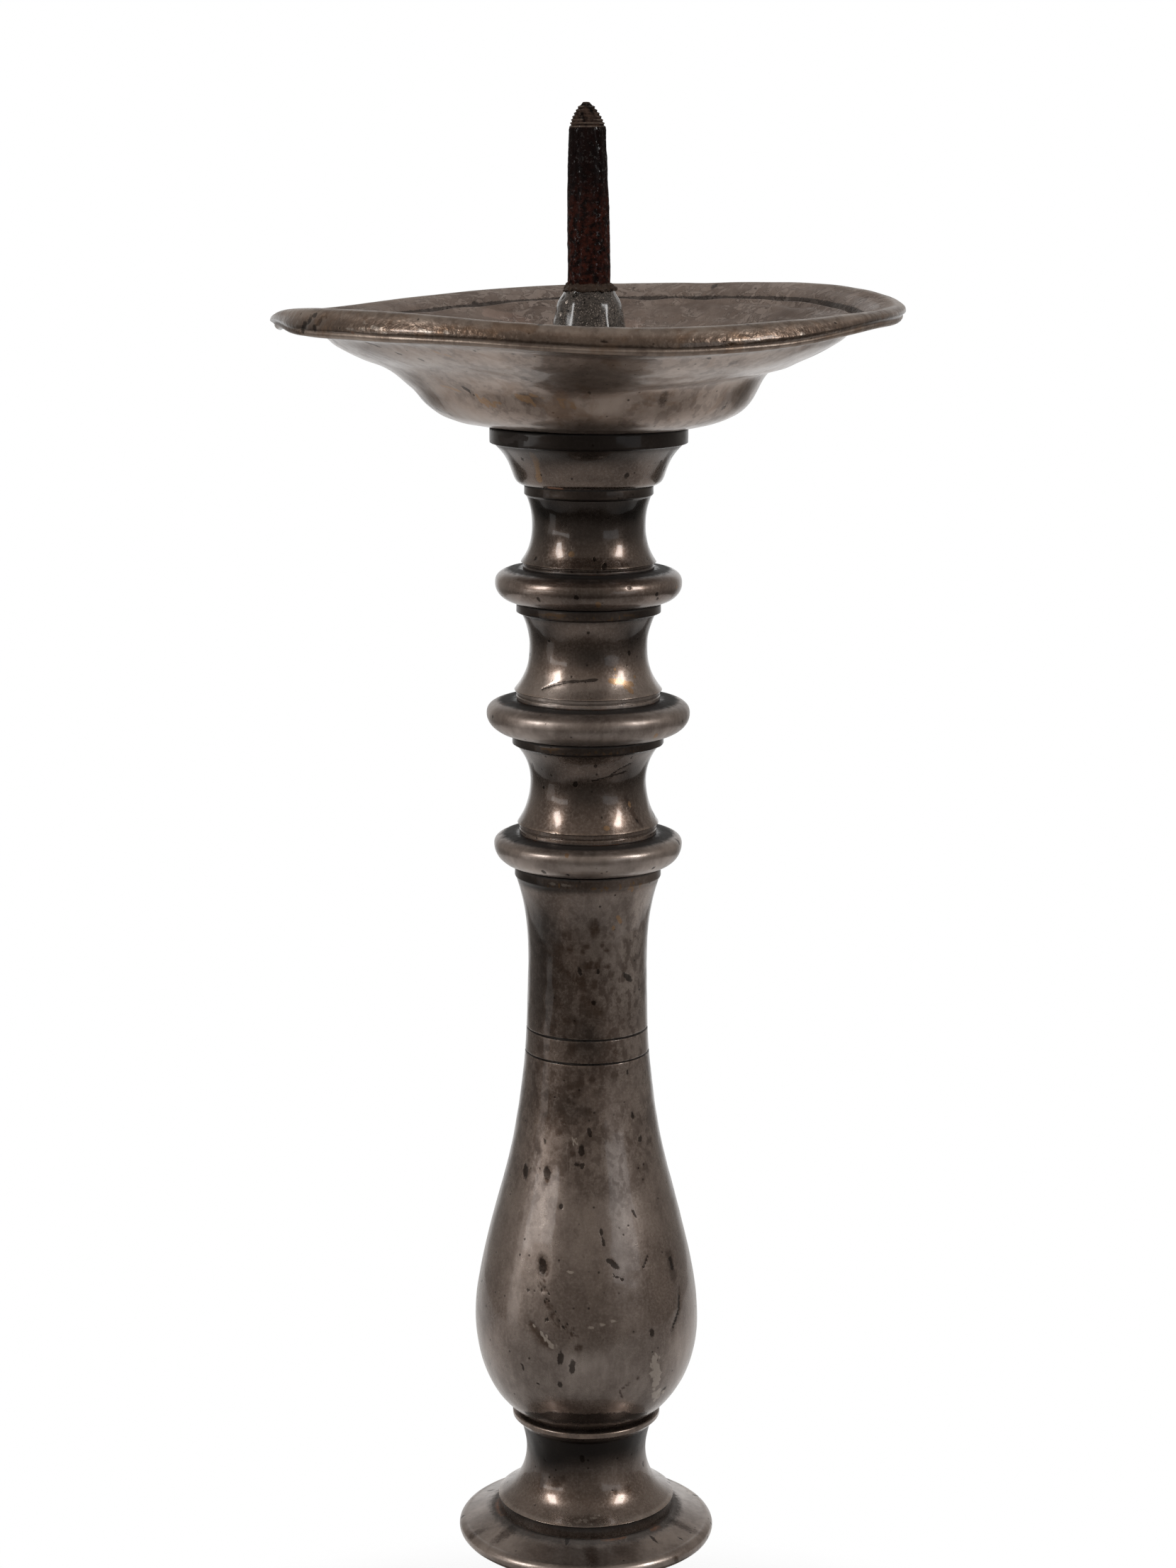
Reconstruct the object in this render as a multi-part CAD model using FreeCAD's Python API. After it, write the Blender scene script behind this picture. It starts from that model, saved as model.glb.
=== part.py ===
import FreeCAD, Part
import math
import os

os.makedirs("parts", exist_ok=True)

# A pricket candlestick of cast and turned copper alloy on an iron tie rod, in millimetres, +Z up.
# The origin is the centre of the ring that the foot stands on.
# Heights are measured along the stem. A list whose name ends in shares holds parts of named sizes.

# Stem castings: bored through for the tie rod, and centred on each other by short spigots.
core_radius = 8.0
spigot_wall = 4.0
spigot_height = 3.0
spigot_clearance = 0.15

# Spreading foot
foot_radius = 97.5
foot_height = 96.0
foot_wall = 5.0
foot_band_height = 13.0
foot_band_ledge = 3.5
foot_edge_round = 1.2
foot_ring_width = 9.0
ovolo_height = 18.0
ovolo_width = 15.0
ovolo_fillet = 2.4
foot_top_radius = 30.0
foot_top_band = 2.6
foot_neck_radius = 23.5
foot_neck_drop = 9.0
foot_web = 9.0
# The hollow flare of the foot, as (share of the way outwards, share of the way down).
foot_flare_shares = [(0.0, 0.0), (0.035, 0.22), (0.155, 0.5), (0.41, 0.75), (0.72, 0.91), (1.0, 1.0)]

# Flange on the foot
flange_radius = 37.25
flange_height = 9.0
flange_top_radius = 26.4
flange_edge_radius = 35.0
flange_edge_drop = 3.2
flange_edge_thickness = 4.4

# Trumpet neck under the bulb
trumpet_ring_radius = 21.5
trumpet_ring_height = 0.95
trumpet_ring_chamfer = 3.05
trumpet_top_radius = 18.9
trumpet_waist_radius = 17.45
trumpet_lip_radius = 25.7
trumpet_waist_height = 22.65
trumpet_waist_share = 1 / 3
trumpet_fillet_radius = 25.3
trumpet_fillet_height = 4.0
# Below the waist: (share of the flare outwards, share of the height down).
trumpet_flare_shares = [(0.1, 0.61), (0.39, 0.825)]

# Baluster with its bulb
baluster_height = 162.7
baluster_ring_radius = 20.7
baluster_ring_height = 2.75
baluster_ring_chamfer = 0.9
baluster_ring_step = 0.55
neck_radius = 16.95
bulb_radius = 32.3
baluster_foot_radius = 19.4
baluster_wall = 5.0
# Outline below the ring: (share from the neck radius to the bulb radius, share of the height down).
baluster_shares = [(0.092, 0.063), (0.016, 0.124), (0.0, 0.2), (0.022, 0.29), (0.052, 0.332),
                   (0.1, 0.38), (0.24, 0.473), (0.596, 0.614), (0.937, 0.757), (1.0, 0.817),
                   (0.955, 0.873), (0.77, 0.93), (0.44, 0.976), (0.2, 0.996)]
turned_line_shares = [0.29, 0.332]
turned_line_depth = 0.35
turned_line_width = 0.7
# The core that the bulb was cast round: where it starts and ends, as shares of the height down.
core_top_share = 0.1
core_foot_share = 0.96

# Three waisted drums. Below the waist: (share of the flare outwards, share of the height down).
drum_chamfer = 0.6
drum_lip_inset = 0.6
drum_waist_share = 0.43
drum_top_shares = [(0.38, 0.16)]
drum_flare_shares = [(0.11, 0.65), (0.476, 0.847)]
lower_drum = {"ring_radius": 21.3, "ring_height": 2.35, "top_radius": 20.0, "waist_radius": 16.3,
              "lip_radius": 19.95, "waist_height": 22.2, "fillet_height": 3.0}
middle_drum = {"ring_radius": 20.15, "ring_height": 2.55, "top_radius": 18.6, "waist_radius": 16.45,
               "lip_radius": 20.7, "waist_height": 21.4, "fillet_height": 2.7}
upper_drum = {"ring_radius": 17.95, "ring_height": 2.65, "top_radius": 17.25, "waist_radius": 15.8,
              "lip_radius": 18.95, "waist_height": 18.3, "fillet_height": 1.7}

# Three ring-shaped knops. Each is widest at rise below its top, and tucks in above a narrow recess.
knop_recess = 0.6
knop_recess_inset = 1.2
lower_knop = {"radius": 26.5, "tuck_radius": 20.0, "rise": 3.1, "fall": 5.65}
middle_knop = {"radius": 28.55, "tuck_radius": 20.5, "rise": 4.05, "fall": 5.4}
upper_knop = {"radius": 26.1, "tuck_radius": 19.5, "rise": 4.25, "fall": 4.9}

# Capital under the pan
capital_radius = 27.5
capital_band = 3.7
capital_step = 1.3
capital_chamfer = 0.5
capital_lip_radius = 19.8
capital_lip_height = 2.65
capital_lip_inset = 1.6
capital_height = 15.85
capital_web = 6.0
# The hollow taper: (share of the way inwards, share of the way down).
capital_taper_shares = [(0.39, 0.2), (0.62, 0.5)]

# Drip pan: the rim stands pan_depth above the seat on average, and leans and is warped with age.
pan_radius = 87.6
pan_depth = 33.6
pan_wall = 3.6
pan_seat_radius = 24.0
rim_width = 14.4
rim_height = 6.9
rim_lean = 2.3
rim_lean_direction = 52.0
rim_warp = 1.9
rim_warp_direction = 45.0
rim_ripple = 0.8
rim_ripple_direction = 105.0
pan_sections = 24
# Underside of the bowl: (share of the way from the seat to the rim, share of the rise).
bowl_shares = [(0.0, 0.0), (0.19, 0.06), (0.35, 0.19), (0.445, 0.355), (0.535, 0.56),
               (0.69, 0.715), (0.84, 0.85), (1.0, 1.0)]
# Outside of the rim, from its arris over the crest to the groove round the well:
# (share of the rim's width outwards, share of the rim's height).
rim_shares = [(0.98, 0.29), (1.0, 0.56), (0.93, 0.84), (0.74, 1.0), (0.42, 0.88), (0.2, 0.65), (0.07, 0.42)]
rim_fillet_shares = [(0.82, 0.0), (0.86, 0.15)]

# Collar round the root of the spike
collar_height = 34.6
collar_foot_radius = 14.5
# (share of the foot radius, share of the height down)
collar_shares = [(0.45, 0.0), (0.54, 0.06), (0.62, 0.16), (0.67, 0.3), (0.72, 0.58), (0.83, 0.85), (1.0, 1.0)]

# Spike and tie rod, one forging
spike_foot_radius = 5.8
spike_shoulder_radius = 4.85
spike_tip_radius = 0.8
spike_straight_height = 16.0
spike_shaft_height = 42.9
spike_point_height = 6.9
spike_swell_power = 1.7
ridge_count = 8
ridge_depth = 0.28
ridge_root_share = 0.7
rod_radius = 5.0
rod_clearance = 0.3
rod_end_length = 6.0

# Washer and square nut under the foot's web
washer_radius = 16.0
washer_thickness = 2.5
nut_width = 19.0
nut_height = 9.0
nut_chamfer = 1.5
nut_chamfer_width = 3.0
nut_clearance = 0.05

# For every cut and every rounding
cut_overrun = 1.0
quarter_points = 8
full_turn = 360

# Levels of the faces where the pieces meet, from the ground up
spigot_radius = core_radius + spigot_wall
rod_bore = rod_radius + rod_clearance


def drum_height(drum):
    return drum["ring_height"] + drum_chamfer + drum["waist_height"] + drum["fillet_height"]


def knop_height(knop):
    return knop["rise"] + knop["fall"] + knop_recess


trumpet_height = trumpet_ring_height + trumpet_ring_chamfer + trumpet_waist_height + trumpet_fillet_height
flange_level = foot_height
trumpet_level = flange_level + flange_height
baluster_level = trumpet_level + trumpet_height
lower_knop_level = baluster_level + baluster_height
lower_drum_level = lower_knop_level + knop_height(lower_knop)
middle_knop_level = lower_drum_level + drum_height(lower_drum)
middle_drum_level = middle_knop_level + knop_height(middle_knop)
upper_knop_level = middle_drum_level + drum_height(middle_drum)
upper_drum_level = upper_knop_level + knop_height(upper_knop)
capital_level = upper_drum_level + drum_height(upper_drum)
pan_level = capital_level + capital_height
collar_level = pan_level + pan_wall
spike_level = collar_level + collar_height


def at(radius, height, angle=0.0):
    """The point at a radius and height, in the upright plane at this angle round the axis."""
    return FreeCAD.Vector(radius * math.cos(angle), radius * math.sin(angle), height)


def smooth(points):
    """One smooth curve through the points."""
    curve = Part.BSplineCurve()
    curve.interpolate(points)
    return curve.toShape()


class Outline:
    """The outline of a turned piece, drawn from the axis at its top down to the axis at its foot."""

    def __init__(self, height):
        self.radius = 0.0
        self.height = height
        self.edges = []

    def here(self):
        return at(self.radius, self.height)

    def line(self, radius, height):
        self.edges.append(Part.makeLine(self.here(), at(radius, height)))
        self.radius, self.height = radius, height

    def arc(self, mid_radius, mid_height, radius, height):
        arc = Part.Arc(self.here(), at(mid_radius, mid_height), at(radius, height))
        self.edges.append(arc.toShape())
        self.radius, self.height = radius, height

    def curve(self, points):
        self.edges.append(smooth([self.here()] + [at(r, h) for r, h in points]))
        self.radius, self.height = points[-1]

    def quarter(self, radius, height, level_first):
        """A quarter of an ellipse, level at one end and upright at the other."""
        points = []
        for step in range(1, quarter_points + 1):
            angle = math.pi / 2 * step / quarter_points
            rising, falling = math.sin(angle), math.cos(angle)
            if level_first:
                across, down = rising, 1 - falling
            else:
                across, down = 1 - falling, rising
            points.append((self.radius + (radius - self.radius) * across,
                           self.height + (height - self.height) * down))
        self.curve(points)

    def waist(self, waist_radius, radius, drop, top_shares, waist_share, flare_shares):
        """A hollow waist that ends drop lower, at a lip of this radius."""
        top_radius, top = self.radius, self.height
        points = [(waist_radius + (top_radius - waist_radius) * out, top - drop * down)
                  for out, down in top_shares]
        points.append((waist_radius, top - drop * waist_share))
        points += [(waist_radius + (radius - waist_radius) * out, top - drop * down)
                   for out, down in flare_shares]
        points.append((radius, top - drop))
        self.curve(points)

    def turned(self):
        self.line(0, self.height)
        top = self.edges[0].Vertexes[0].Point
        self.edges.append(Part.makeLine(self.here(), top))
        face = Part.Face(Part.Wire(self.edges))
        return face.revolve(at(0, 0), FreeCAD.Vector(0, 0, 1), full_turn)


def inset(points, wall):
    """The points moved by the wall thickness to the left of the way they run."""
    moved = []
    for index, (radius, height) in enumerate(points):
        before = points[max(index - 1, 0)]
        after = points[min(index + 1, len(points) - 1)]
        run, rise = after[0] - before[0], after[1] - before[1]
        length = math.hypot(run, rise)
        moved.append((radius - wall * rise / length, height + wall * run / length))
    return moved


def cylinder(radius, bottom, top):
    return Part.makeCylinder(radius, top - bottom, at(0, bottom))


def bored(solid, radius, bottom, top):
    return solid.cut(cylinder(radius, bottom - cut_overrun, top + cut_overrun))


def with_spigot(solid, level):
    """Adds the short spigot that stands on a casting's top face."""
    return solid.fuse(cylinder(spigot_radius, level, level + spigot_height)).removeSplitter()


def with_socket(solid, level):
    """Cuts the socket that takes the spigot of the casting below."""
    socket_top = level + spigot_height + spigot_clearance
    return solid.cut(cylinder(spigot_radius + spigot_clearance, level - cut_overrun, socket_top))


def stem_casting(outline, bottom, top):
    """A casting with a spigot above, a socket below and the core hole through both."""
    solid = with_socket(with_spigot(outline.turned(), top), bottom)
    return bored(solid, core_radius, bottom, top + spigot_height)


def build_foot():
    """A hollow bell: a necked flare, a convex moulding and an upright band on the ground."""
    shoulder_radius = foot_radius - foot_band_ledge - ovolo_width
    shoulder = foot_band_height + ovolo_height + ovolo_fillet
    neck = foot_height - foot_neck_drop
    flare = [(foot_neck_radius + (shoulder_radius - foot_neck_radius) * out, neck + (shoulder - neck) * down)
             for out, down in foot_flare_shares]
    outline = Outline(foot_height)
    outline.line(foot_top_radius, foot_height)
    outline.line(foot_top_radius, foot_height - foot_top_band)
    outline.quarter(foot_neck_radius, neck, True)
    outline.curve(flare[1:])
    outline.line(shoulder_radius, shoulder - ovolo_fillet)
    outline.quarter(shoulder_radius + ovolo_width, foot_band_height, True)
    outline.line(foot_radius, foot_band_height)
    outline.line(foot_radius, foot_edge_round)
    corner = foot_edge_round * (1 - math.sqrt(0.5))
    outline.arc(foot_radius - corner, corner, foot_radius - foot_edge_round, 0)
    solid = outline.turned()

    inner = inset(flare, -foot_wall)
    ceiling = foot_height - foot_web
    hollow = Outline(ceiling)
    hollow.line(inner[0][0], ceiling)
    hollow.curve(inner[1:])
    hollow.quarter(foot_radius - foot_ring_width, foot_band_height - foot_wall, True)
    hollow.line(foot_radius - foot_ring_width, -cut_overrun)
    solid = solid.cut(hollow.turned())
    return bored(with_spigot(solid, foot_height), rod_bore, ceiling, foot_height + spigot_height)


def build_flange():
    top = trumpet_level
    edge_top = top - flange_edge_drop
    outline = Outline(top)
    outline.line(flange_top_radius, top)
    outline.line(flange_edge_radius, edge_top)
    outline.arc(flange_radius, edge_top - flange_edge_thickness / 2,
                flange_edge_radius, edge_top - flange_edge_thickness)
    outline.line(foot_top_radius, flange_level)
    return stem_casting(outline, flange_level, top)


def build_trumpet():
    top = baluster_level
    outline = Outline(top)
    outline.line(trumpet_ring_radius, top)
    outline.line(trumpet_ring_radius, top - trumpet_ring_height)
    outline.line(trumpet_top_radius, outline.height - trumpet_ring_chamfer)
    outline.waist(trumpet_waist_radius, trumpet_lip_radius, trumpet_waist_height,
                  [], trumpet_waist_share, trumpet_flare_shares)
    outline.line(trumpet_fillet_radius, outline.height)
    outline.line(trumpet_fillet_radius, trumpet_level)
    return stem_casting(outline, trumpet_level, top)


def build_baluster():
    top = lower_knop_level
    points = [(neck_radius + (bulb_radius - neck_radius) * out, top - baluster_height * down)
              for out, down in baluster_shares]
    outline = Outline(top)
    outline.line(baluster_ring_radius, top)
    outline.line(baluster_ring_radius, top - baluster_ring_height)
    outline.line(baluster_ring_radius - baluster_ring_step, outline.height - baluster_ring_chamfer)
    outline.curve(points)
    outline.line(baluster_foot_radius, baluster_level)
    solid = stem_casting(outline, baluster_level, top)

    core = Outline(top - baluster_height * core_top_share)
    core.line(core_radius, core.height)
    core.curve([(radius - baluster_wall, height) for (radius, height), (out, down)
                in zip(points, baluster_shares) if core_top_share < down < core_foot_share])
    core.line(core_radius, top - baluster_height * core_foot_share)
    solid = solid.cut(core.turned())

    lines = [point for point, (out, down) in zip(points, baluster_shares) if down in turned_line_shares]
    for radius, level in lines:
        corners = [at(radius - turned_line_depth, level),
                   at(radius + turned_line_depth, level + turned_line_width),
                   at(radius + turned_line_depth, level - turned_line_width)]
        cutter = Part.Face(Part.makePolygon(corners + corners[:1]))
        solid = solid.cut(cutter.revolve(at(0, 0), FreeCAD.Vector(0, 0, 1), full_turn))
    return solid


def build_drum(drum, bottom):
    """A ring at the top, a hollow waist, a sharp lip and a plain fillet below it."""
    top = bottom + drum_height(drum)
    outline = Outline(top)
    outline.line(drum["ring_radius"], top)
    outline.line(drum["ring_radius"], top - drum["ring_height"])
    outline.line(drum["top_radius"], outline.height - drum_chamfer)
    outline.waist(drum["waist_radius"], drum["lip_radius"], drum["waist_height"],
                  drum_top_shares, drum_waist_share, drum_flare_shares)
    outline.line(drum["lip_radius"] - drum_lip_inset, outline.height)
    outline.line(drum["lip_radius"] - drum_lip_inset, bottom)
    return stem_casting(outline, bottom, top)


def build_knop(knop, drum, bottom):
    """A ring that swells out from under its drum's fillet and tucks in again below."""
    top = bottom + knop_height(knop)
    outline = Outline(top)
    outline.line(drum["lip_radius"] - drum_lip_inset, top)
    outline.quarter(knop["radius"], top - knop["rise"], True)
    outline.quarter(knop["tuck_radius"], bottom + knop_recess, False)
    outline.line(knop["tuck_radius"] - knop_recess_inset, bottom + knop_recess)
    outline.line(knop["tuck_radius"] - knop_recess_inset, bottom)
    return stem_casting(outline, bottom, top)


def build_capital():
    top = pan_level
    taper_top = top - capital_band - capital_chamfer
    lip_top = capital_level + capital_lip_height
    start_radius = capital_radius - capital_step
    outline = Outline(top)
    outline.line(capital_radius, top)
    outline.line(capital_radius, top - capital_band)
    outline.line(start_radius, taper_top)
    points = [(start_radius + (capital_lip_radius - start_radius) * across,
               taper_top + (lip_top - taper_top) * down) for across, down in capital_taper_shares]
    outline.curve(points + [(capital_lip_radius, lip_top)])
    outline.quarter(capital_lip_radius - capital_lip_inset, capital_level, False)
    solid = with_socket(outline.turned(), capital_level)
    solid = bored(solid, core_radius, capital_level, top - capital_web - cut_overrun)
    return bored(solid, rod_bore, capital_level, top)


def rim_lift(radius, angle):
    """How far the leaning, warped pan stands above its mean height there."""
    share = max(0.0, (radius - pan_seat_radius) / (pan_radius - pan_seat_radius))
    lean = rim_lean * math.cos(angle - math.radians(rim_lean_direction))
    warp = rim_warp * math.cos(2 * (angle - math.radians(rim_warp_direction)))
    ripple = rim_ripple * math.cos(3 * (angle - math.radians(rim_ripple_direction)))
    return share * (lean + warp + ripple)


def pan_section(angle):
    """The closed section of the pan at this angle: underside, rim, then the well."""
    def place(points):
        return [at(r, pan_level + h + rim_lift(r, angle), angle) for r, h in points]

    well_radius = pan_radius - rim_width
    rim_base = pan_depth - rim_height
    bowl = [(pan_seat_radius + (well_radius - pan_seat_radius) * out, rim_base * up) for out, up in bowl_shares]
    well = inset(bowl, pan_wall)
    fillet = [(well_radius + rim_width * out, rim_base + rim_height * up) for out, up in rim_fillet_shares]
    rim = [(well_radius + rim_width * out, rim_base + rim_height * up) for out, up in rim_shares]
    inside = rod_radius / 2
    hub = [(inside, pan_wall), (inside, 0), (pan_seat_radius, 0)]
    corners = place([well[0]] + hub)
    edges = [Part.makeLine(a, b) for a, b in zip(corners, corners[1:])]
    edges.append(smooth(place(bowl)))
    corners = place([bowl[-1]] + fillet + [rim[0]])
    edges += [Part.makeLine(a, b) for a, b in zip(corners, corners[1:])]
    edges.append(smooth(place(rim)))
    edges.append(Part.makeLine(*place([rim[-1], well[-1]])))
    edges.append(smooth(place(well[::-1])))
    return Part.Wire(edges)


def build_pan():
    angles = [2 * math.pi * index / pan_sections for index in range(pan_sections)]
    solid = Part.makeLoft([pan_section(angle) for angle in angles], True, False, True)
    return bored(solid, rod_bore, pan_level, pan_level + pan_wall)


def build_collar():
    points = [(collar_foot_radius * across, spike_level - collar_height * down) for across, down in collar_shares]
    outline = Outline(spike_level)
    outline.line(*points[0])
    outline.curve(points[1:])
    return bored(outline.turned(), rod_bore, collar_level, spike_level)


def build_pricket():
    """The spike above its shoulder, with turned ridges round the point, and the rod below."""
    shoulder = spike_level + spike_shaft_height
    washer_face = foot_height - foot_web - washer_thickness
    rod_end = washer_face - nut_height - rod_end_length
    outline = Outline(shoulder + spike_point_height)
    outline.line(spike_tip_radius, outline.height)
    for ridge in range(ridge_count, 0, -1):
        for share, depth in ((ridge - ridge_root_share, ridge_depth), (ridge - 1, 0.0)):
            up = share / ridge_count
            radius = spike_tip_radius + (spike_shoulder_radius - spike_tip_radius) * (1 - up ** spike_swell_power)
            outline.line(radius - depth, shoulder + spike_point_height * up)
    outline.line(spike_foot_radius, spike_level + spike_straight_height)
    outline.line(spike_foot_radius, spike_level)
    outline.line(rod_radius, spike_level)
    outline.line(rod_radius, rod_end)
    return outline.turned()


def build_washer():
    top = foot_height - foot_web
    disc = cylinder(washer_radius, top - washer_thickness, top)
    return bored(disc, rod_bore, top - washer_thickness, top)


def build_nut():
    """A square nut whose lower corners are chamfered by a turned cone."""
    top = foot_height - foot_web - washer_thickness
    half = nut_width / 2
    block = Part.makeBox(nut_width, nut_width, nut_height, FreeCAD.Vector(-half, -half, top - nut_height))
    corner = half * math.sqrt(2)
    outline = Outline(top)
    outline.line(corner, top)
    outline.line(corner, top - nut_height + nut_chamfer)
    outline.line(corner - nut_chamfer_width, top - nut_height)
    nut = block.common(outline.turned())
    return bored(nut, rod_radius + nut_clearance, top - nut_height, top)


pieces = {
    "base_bell": build_foot,
    "base_flange": build_flange,
    "trumpet_neck": build_trumpet,
    "baluster": build_baluster,
    "lower_knop": lambda: build_knop(lower_knop, lower_drum, lower_knop_level),
    "lower_drum": lambda: build_drum(lower_drum, lower_drum_level),
    "middle_knop": lambda: build_knop(middle_knop, middle_drum, middle_knop_level),
    "middle_drum": lambda: build_drum(middle_drum, middle_drum_level),
    "upper_knop": lambda: build_knop(upper_knop, upper_drum, upper_knop_level),
    "upper_drum": lambda: build_drum(upper_drum, upper_drum_level),
    "capital": build_capital,
    "drip_pan": build_pan,
    "collar": build_collar,
    "pricket": build_pricket,
    "washer": build_washer,
    "nut": build_nut,
}

for name, build in pieces.items():
    shape = build()
    shape.exportStep("parts/" + name + ".step")
    box = shape.BoundBox
    print(name, "solids", len(shape.Solids), "valid", shape.isValid(), "volume", round(shape.Volume),
          "z", round(box.ZMin, 2), round(box.ZMax, 2), "radius", round(box.XMax, 2))
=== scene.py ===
# %% [markdown]
# # A pricket candlestick
# The real one is a stack of turned copper-alloy castings, drawn together by an iron rod whose
# upper end is the spike for the candle. A plain solid of every casting is loaded first, as a
# fixed frame. This script then gives each one a fine turned skin, its dents and its patina.

import math

import bpy
import numpy as np
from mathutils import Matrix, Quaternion, Vector


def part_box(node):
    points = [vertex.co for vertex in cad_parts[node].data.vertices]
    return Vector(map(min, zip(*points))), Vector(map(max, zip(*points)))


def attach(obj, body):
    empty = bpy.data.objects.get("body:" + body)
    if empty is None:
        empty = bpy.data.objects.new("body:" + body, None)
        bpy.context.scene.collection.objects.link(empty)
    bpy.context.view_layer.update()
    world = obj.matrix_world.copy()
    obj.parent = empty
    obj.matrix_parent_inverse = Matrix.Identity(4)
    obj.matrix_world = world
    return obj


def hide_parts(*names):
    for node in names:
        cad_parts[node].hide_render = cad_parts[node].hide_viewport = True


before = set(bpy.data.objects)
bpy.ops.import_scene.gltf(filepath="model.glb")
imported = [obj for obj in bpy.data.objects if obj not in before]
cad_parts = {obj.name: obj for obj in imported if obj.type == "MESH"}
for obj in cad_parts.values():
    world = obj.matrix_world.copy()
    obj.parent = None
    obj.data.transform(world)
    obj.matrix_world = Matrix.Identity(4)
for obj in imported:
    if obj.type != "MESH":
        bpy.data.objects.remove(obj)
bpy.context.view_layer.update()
mm = 0.001

# %% [markdown]
# ## Camera
# A long lens looks slightly down at the candlestick, from the height of the spike. Its distance
# and tilt were found from how round the rings of the stem look. The foot is below the view.

# %% Camera
photo_height = 2212
focal_pixels = 4450
camera_distance = 873.5 * mm
camera_height = 492.0 * mm
camera_tilt = 11.05
camera_roll = 0.17
sensor_size = 36.0

lens = bpy.data.cameras.new("view")
lens.sensor_width = sensor_size
lens.lens = sensor_size * focal_pixels / photo_height
camera = bpy.data.objects.new("view", lens)
camera.location = (0, -camera_distance, camera_height)
camera.rotation_mode = "ZXY"
camera.rotation_euler = (math.radians(90 - camera_tilt), 0, math.radians(camera_roll))
bpy.context.scene.collection.objects.link(camera)
bpy.context.scene.camera = camera
print("lens in mm:", round(lens.lens, 1))

# %% [markdown]
# ## Light
# Dark polished metal shows what is round it more than its own colour. So the room matters: two
# soft boxes give the paired highlights, a dim reflector beside each and a faint one low on the left
# give a soft glow on the bulb, a white wall behind gives the bright outlines, and a dim room in
# front gives the brown middle. The room is a colour that depends on direction.

# %% World and soft boxes
bpy.context.scene.view_settings.view_transform = "Standard"


def add_node(tree, kind, inputs=None, **settings):
    """A node with its settings and its unlinked input values. A value may also be a socket to link."""
    node = tree.nodes.new(kind)
    for key, value in settings.items():
        setattr(node, key, value)
    for key, value in (inputs or {}).items():
        if isinstance(value, bpy.types.NodeSocket):
            tree.links.new(value, node.inputs[key])
        else:
            node.inputs[key].default_value = value
    return node


def maths(tree, operation, first, second=0.0, third=0.0, clamp=False):
    node = add_node(tree, "ShaderNodeMath", {0: first, 1: second, 2: third}, operation=operation)
    node.use_clamp = clamp
    return node.outputs[0]


def times(tree, first, second, plus=0.0, clamp=False):
    """first times second, plus a third value."""
    return maths(tree, "MULTIPLY_ADD", first, second, plus, clamp)


def most(tree, first, *others):
    """The greatest of some values."""
    for other in others:
        first = maths(tree, "MAXIMUM", first, other)
    return first


def mix_colour(tree, factor, first, second):
    return add_node(tree, "ShaderNodeMix", {0: factor, 6: first, 7: second}, data_type="RGBA").outputs[2]


def ramp(tree, value, low, high, bottom=0.0, top=1.0):
    """A smooth step: bottom below low, top above high."""
    node = add_node(tree, "ShaderNodeMapRange", {0: value, 1: low, 2: high, 3: bottom, 4: top})
    node.interpolation_type = "SMOOTHSTEP"
    return node.outputs[0]


white = (1, 1, 1, 1)
fill_grey = (0.62, 0.62, 0.62, 1)
dark_floor, dim_wall = (0.06, 0.053, 0.046, 1), (0.37, 0.342, 0.315, 1)
wall_starts, wall_full = 0.74, 1.0
dim_starts, dim_full = -0.45, 0.0

world = bpy.data.worlds.new("studio")
world.use_nodes = True
bpy.context.scene.world = world
tree = world.node_tree
tree.nodes.clear()
direction = add_node(tree, "ShaderNodeTexCoord").outputs["Generated"]
parts = add_node(tree, "ShaderNodeSeparateXYZ", {0: direction})
backdrop = ramp(tree, parts.outputs["Y"], wall_starts, wall_full)
above_floor = ramp(tree, parts.outputs["Z"], dim_starts, dim_full)
mirrored = mix_colour(tree, backdrop, mix_colour(tree, above_floor, dark_floor, dim_wall), white)
path = add_node(tree, "ShaderNodeLightPath")
seen = most(tree, path.outputs["Is Camera Ray"], path.outputs["Is Transmission Ray"])
colour = mix_colour(tree, path.outputs["Is Glossy Ray"], fill_grey, mirrored)
colour = mix_colour(tree, seen, colour, white)
background = add_node(tree, "ShaderNodeBackground", {"Color": colour})
add_node(tree, "ShaderNodeOutputWorld", {"Surface": background.outputs[0]})

look_at = Vector((0, 0, 0.32))
light_distance = 1.35


def soft_box(name, turn, rise, width, height, power, colour=(1, 1, 1), lean=0):
    """A rectangular lamp that faces the candlestick. Turn is in degrees to the right of the front."""
    lamp = bpy.data.lights.new(name, "AREA")
    lamp.shape = "RECTANGLE"
    lamp.size, lamp.size_y = width, height
    lamp.energy, lamp.color = power, colour
    across, up = math.radians(turn), math.radians(rise)
    away = Vector((math.sin(across) * math.cos(up), -math.cos(across) * math.cos(up), math.sin(up)))
    holder = bpy.data.objects.new(name, lamp)
    holder.location = look_at + away * light_distance
    facing = away.to_track_quat("Z", "Y") @ Quaternion((0, 0, 1), math.radians(lean))
    holder.rotation_euler = facing.to_euler()
    bpy.context.scene.collection.objects.link(holder)


soft_box("soft_box_left", -62, 26, 0.30, 0.56, 6.8)
soft_box("soft_box_right", 63, 26, 0.30, 0.56, 6.8)
soft_box("reflector_left", -60, 2, 0.93, 0.12, 1.0, lean=7)
soft_box("low_reflector_left", -80, -8, 0.35, 0.5, 0.45)
soft_box("reflector_right", 46, 2, 0.75, 0.24, 0.55, (0.8, 0.9, 1.0))
print("soft boxes at", light_distance, "m")

# %% [markdown]
# ## Table
# The candlestick stands on a white table. Only the part near the foot is kept in view, where it
# holds the shadow; further out it fades into the white background. In reflections it is greyer in
# front, where it ends within arm's reach, and lighter behind.

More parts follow.
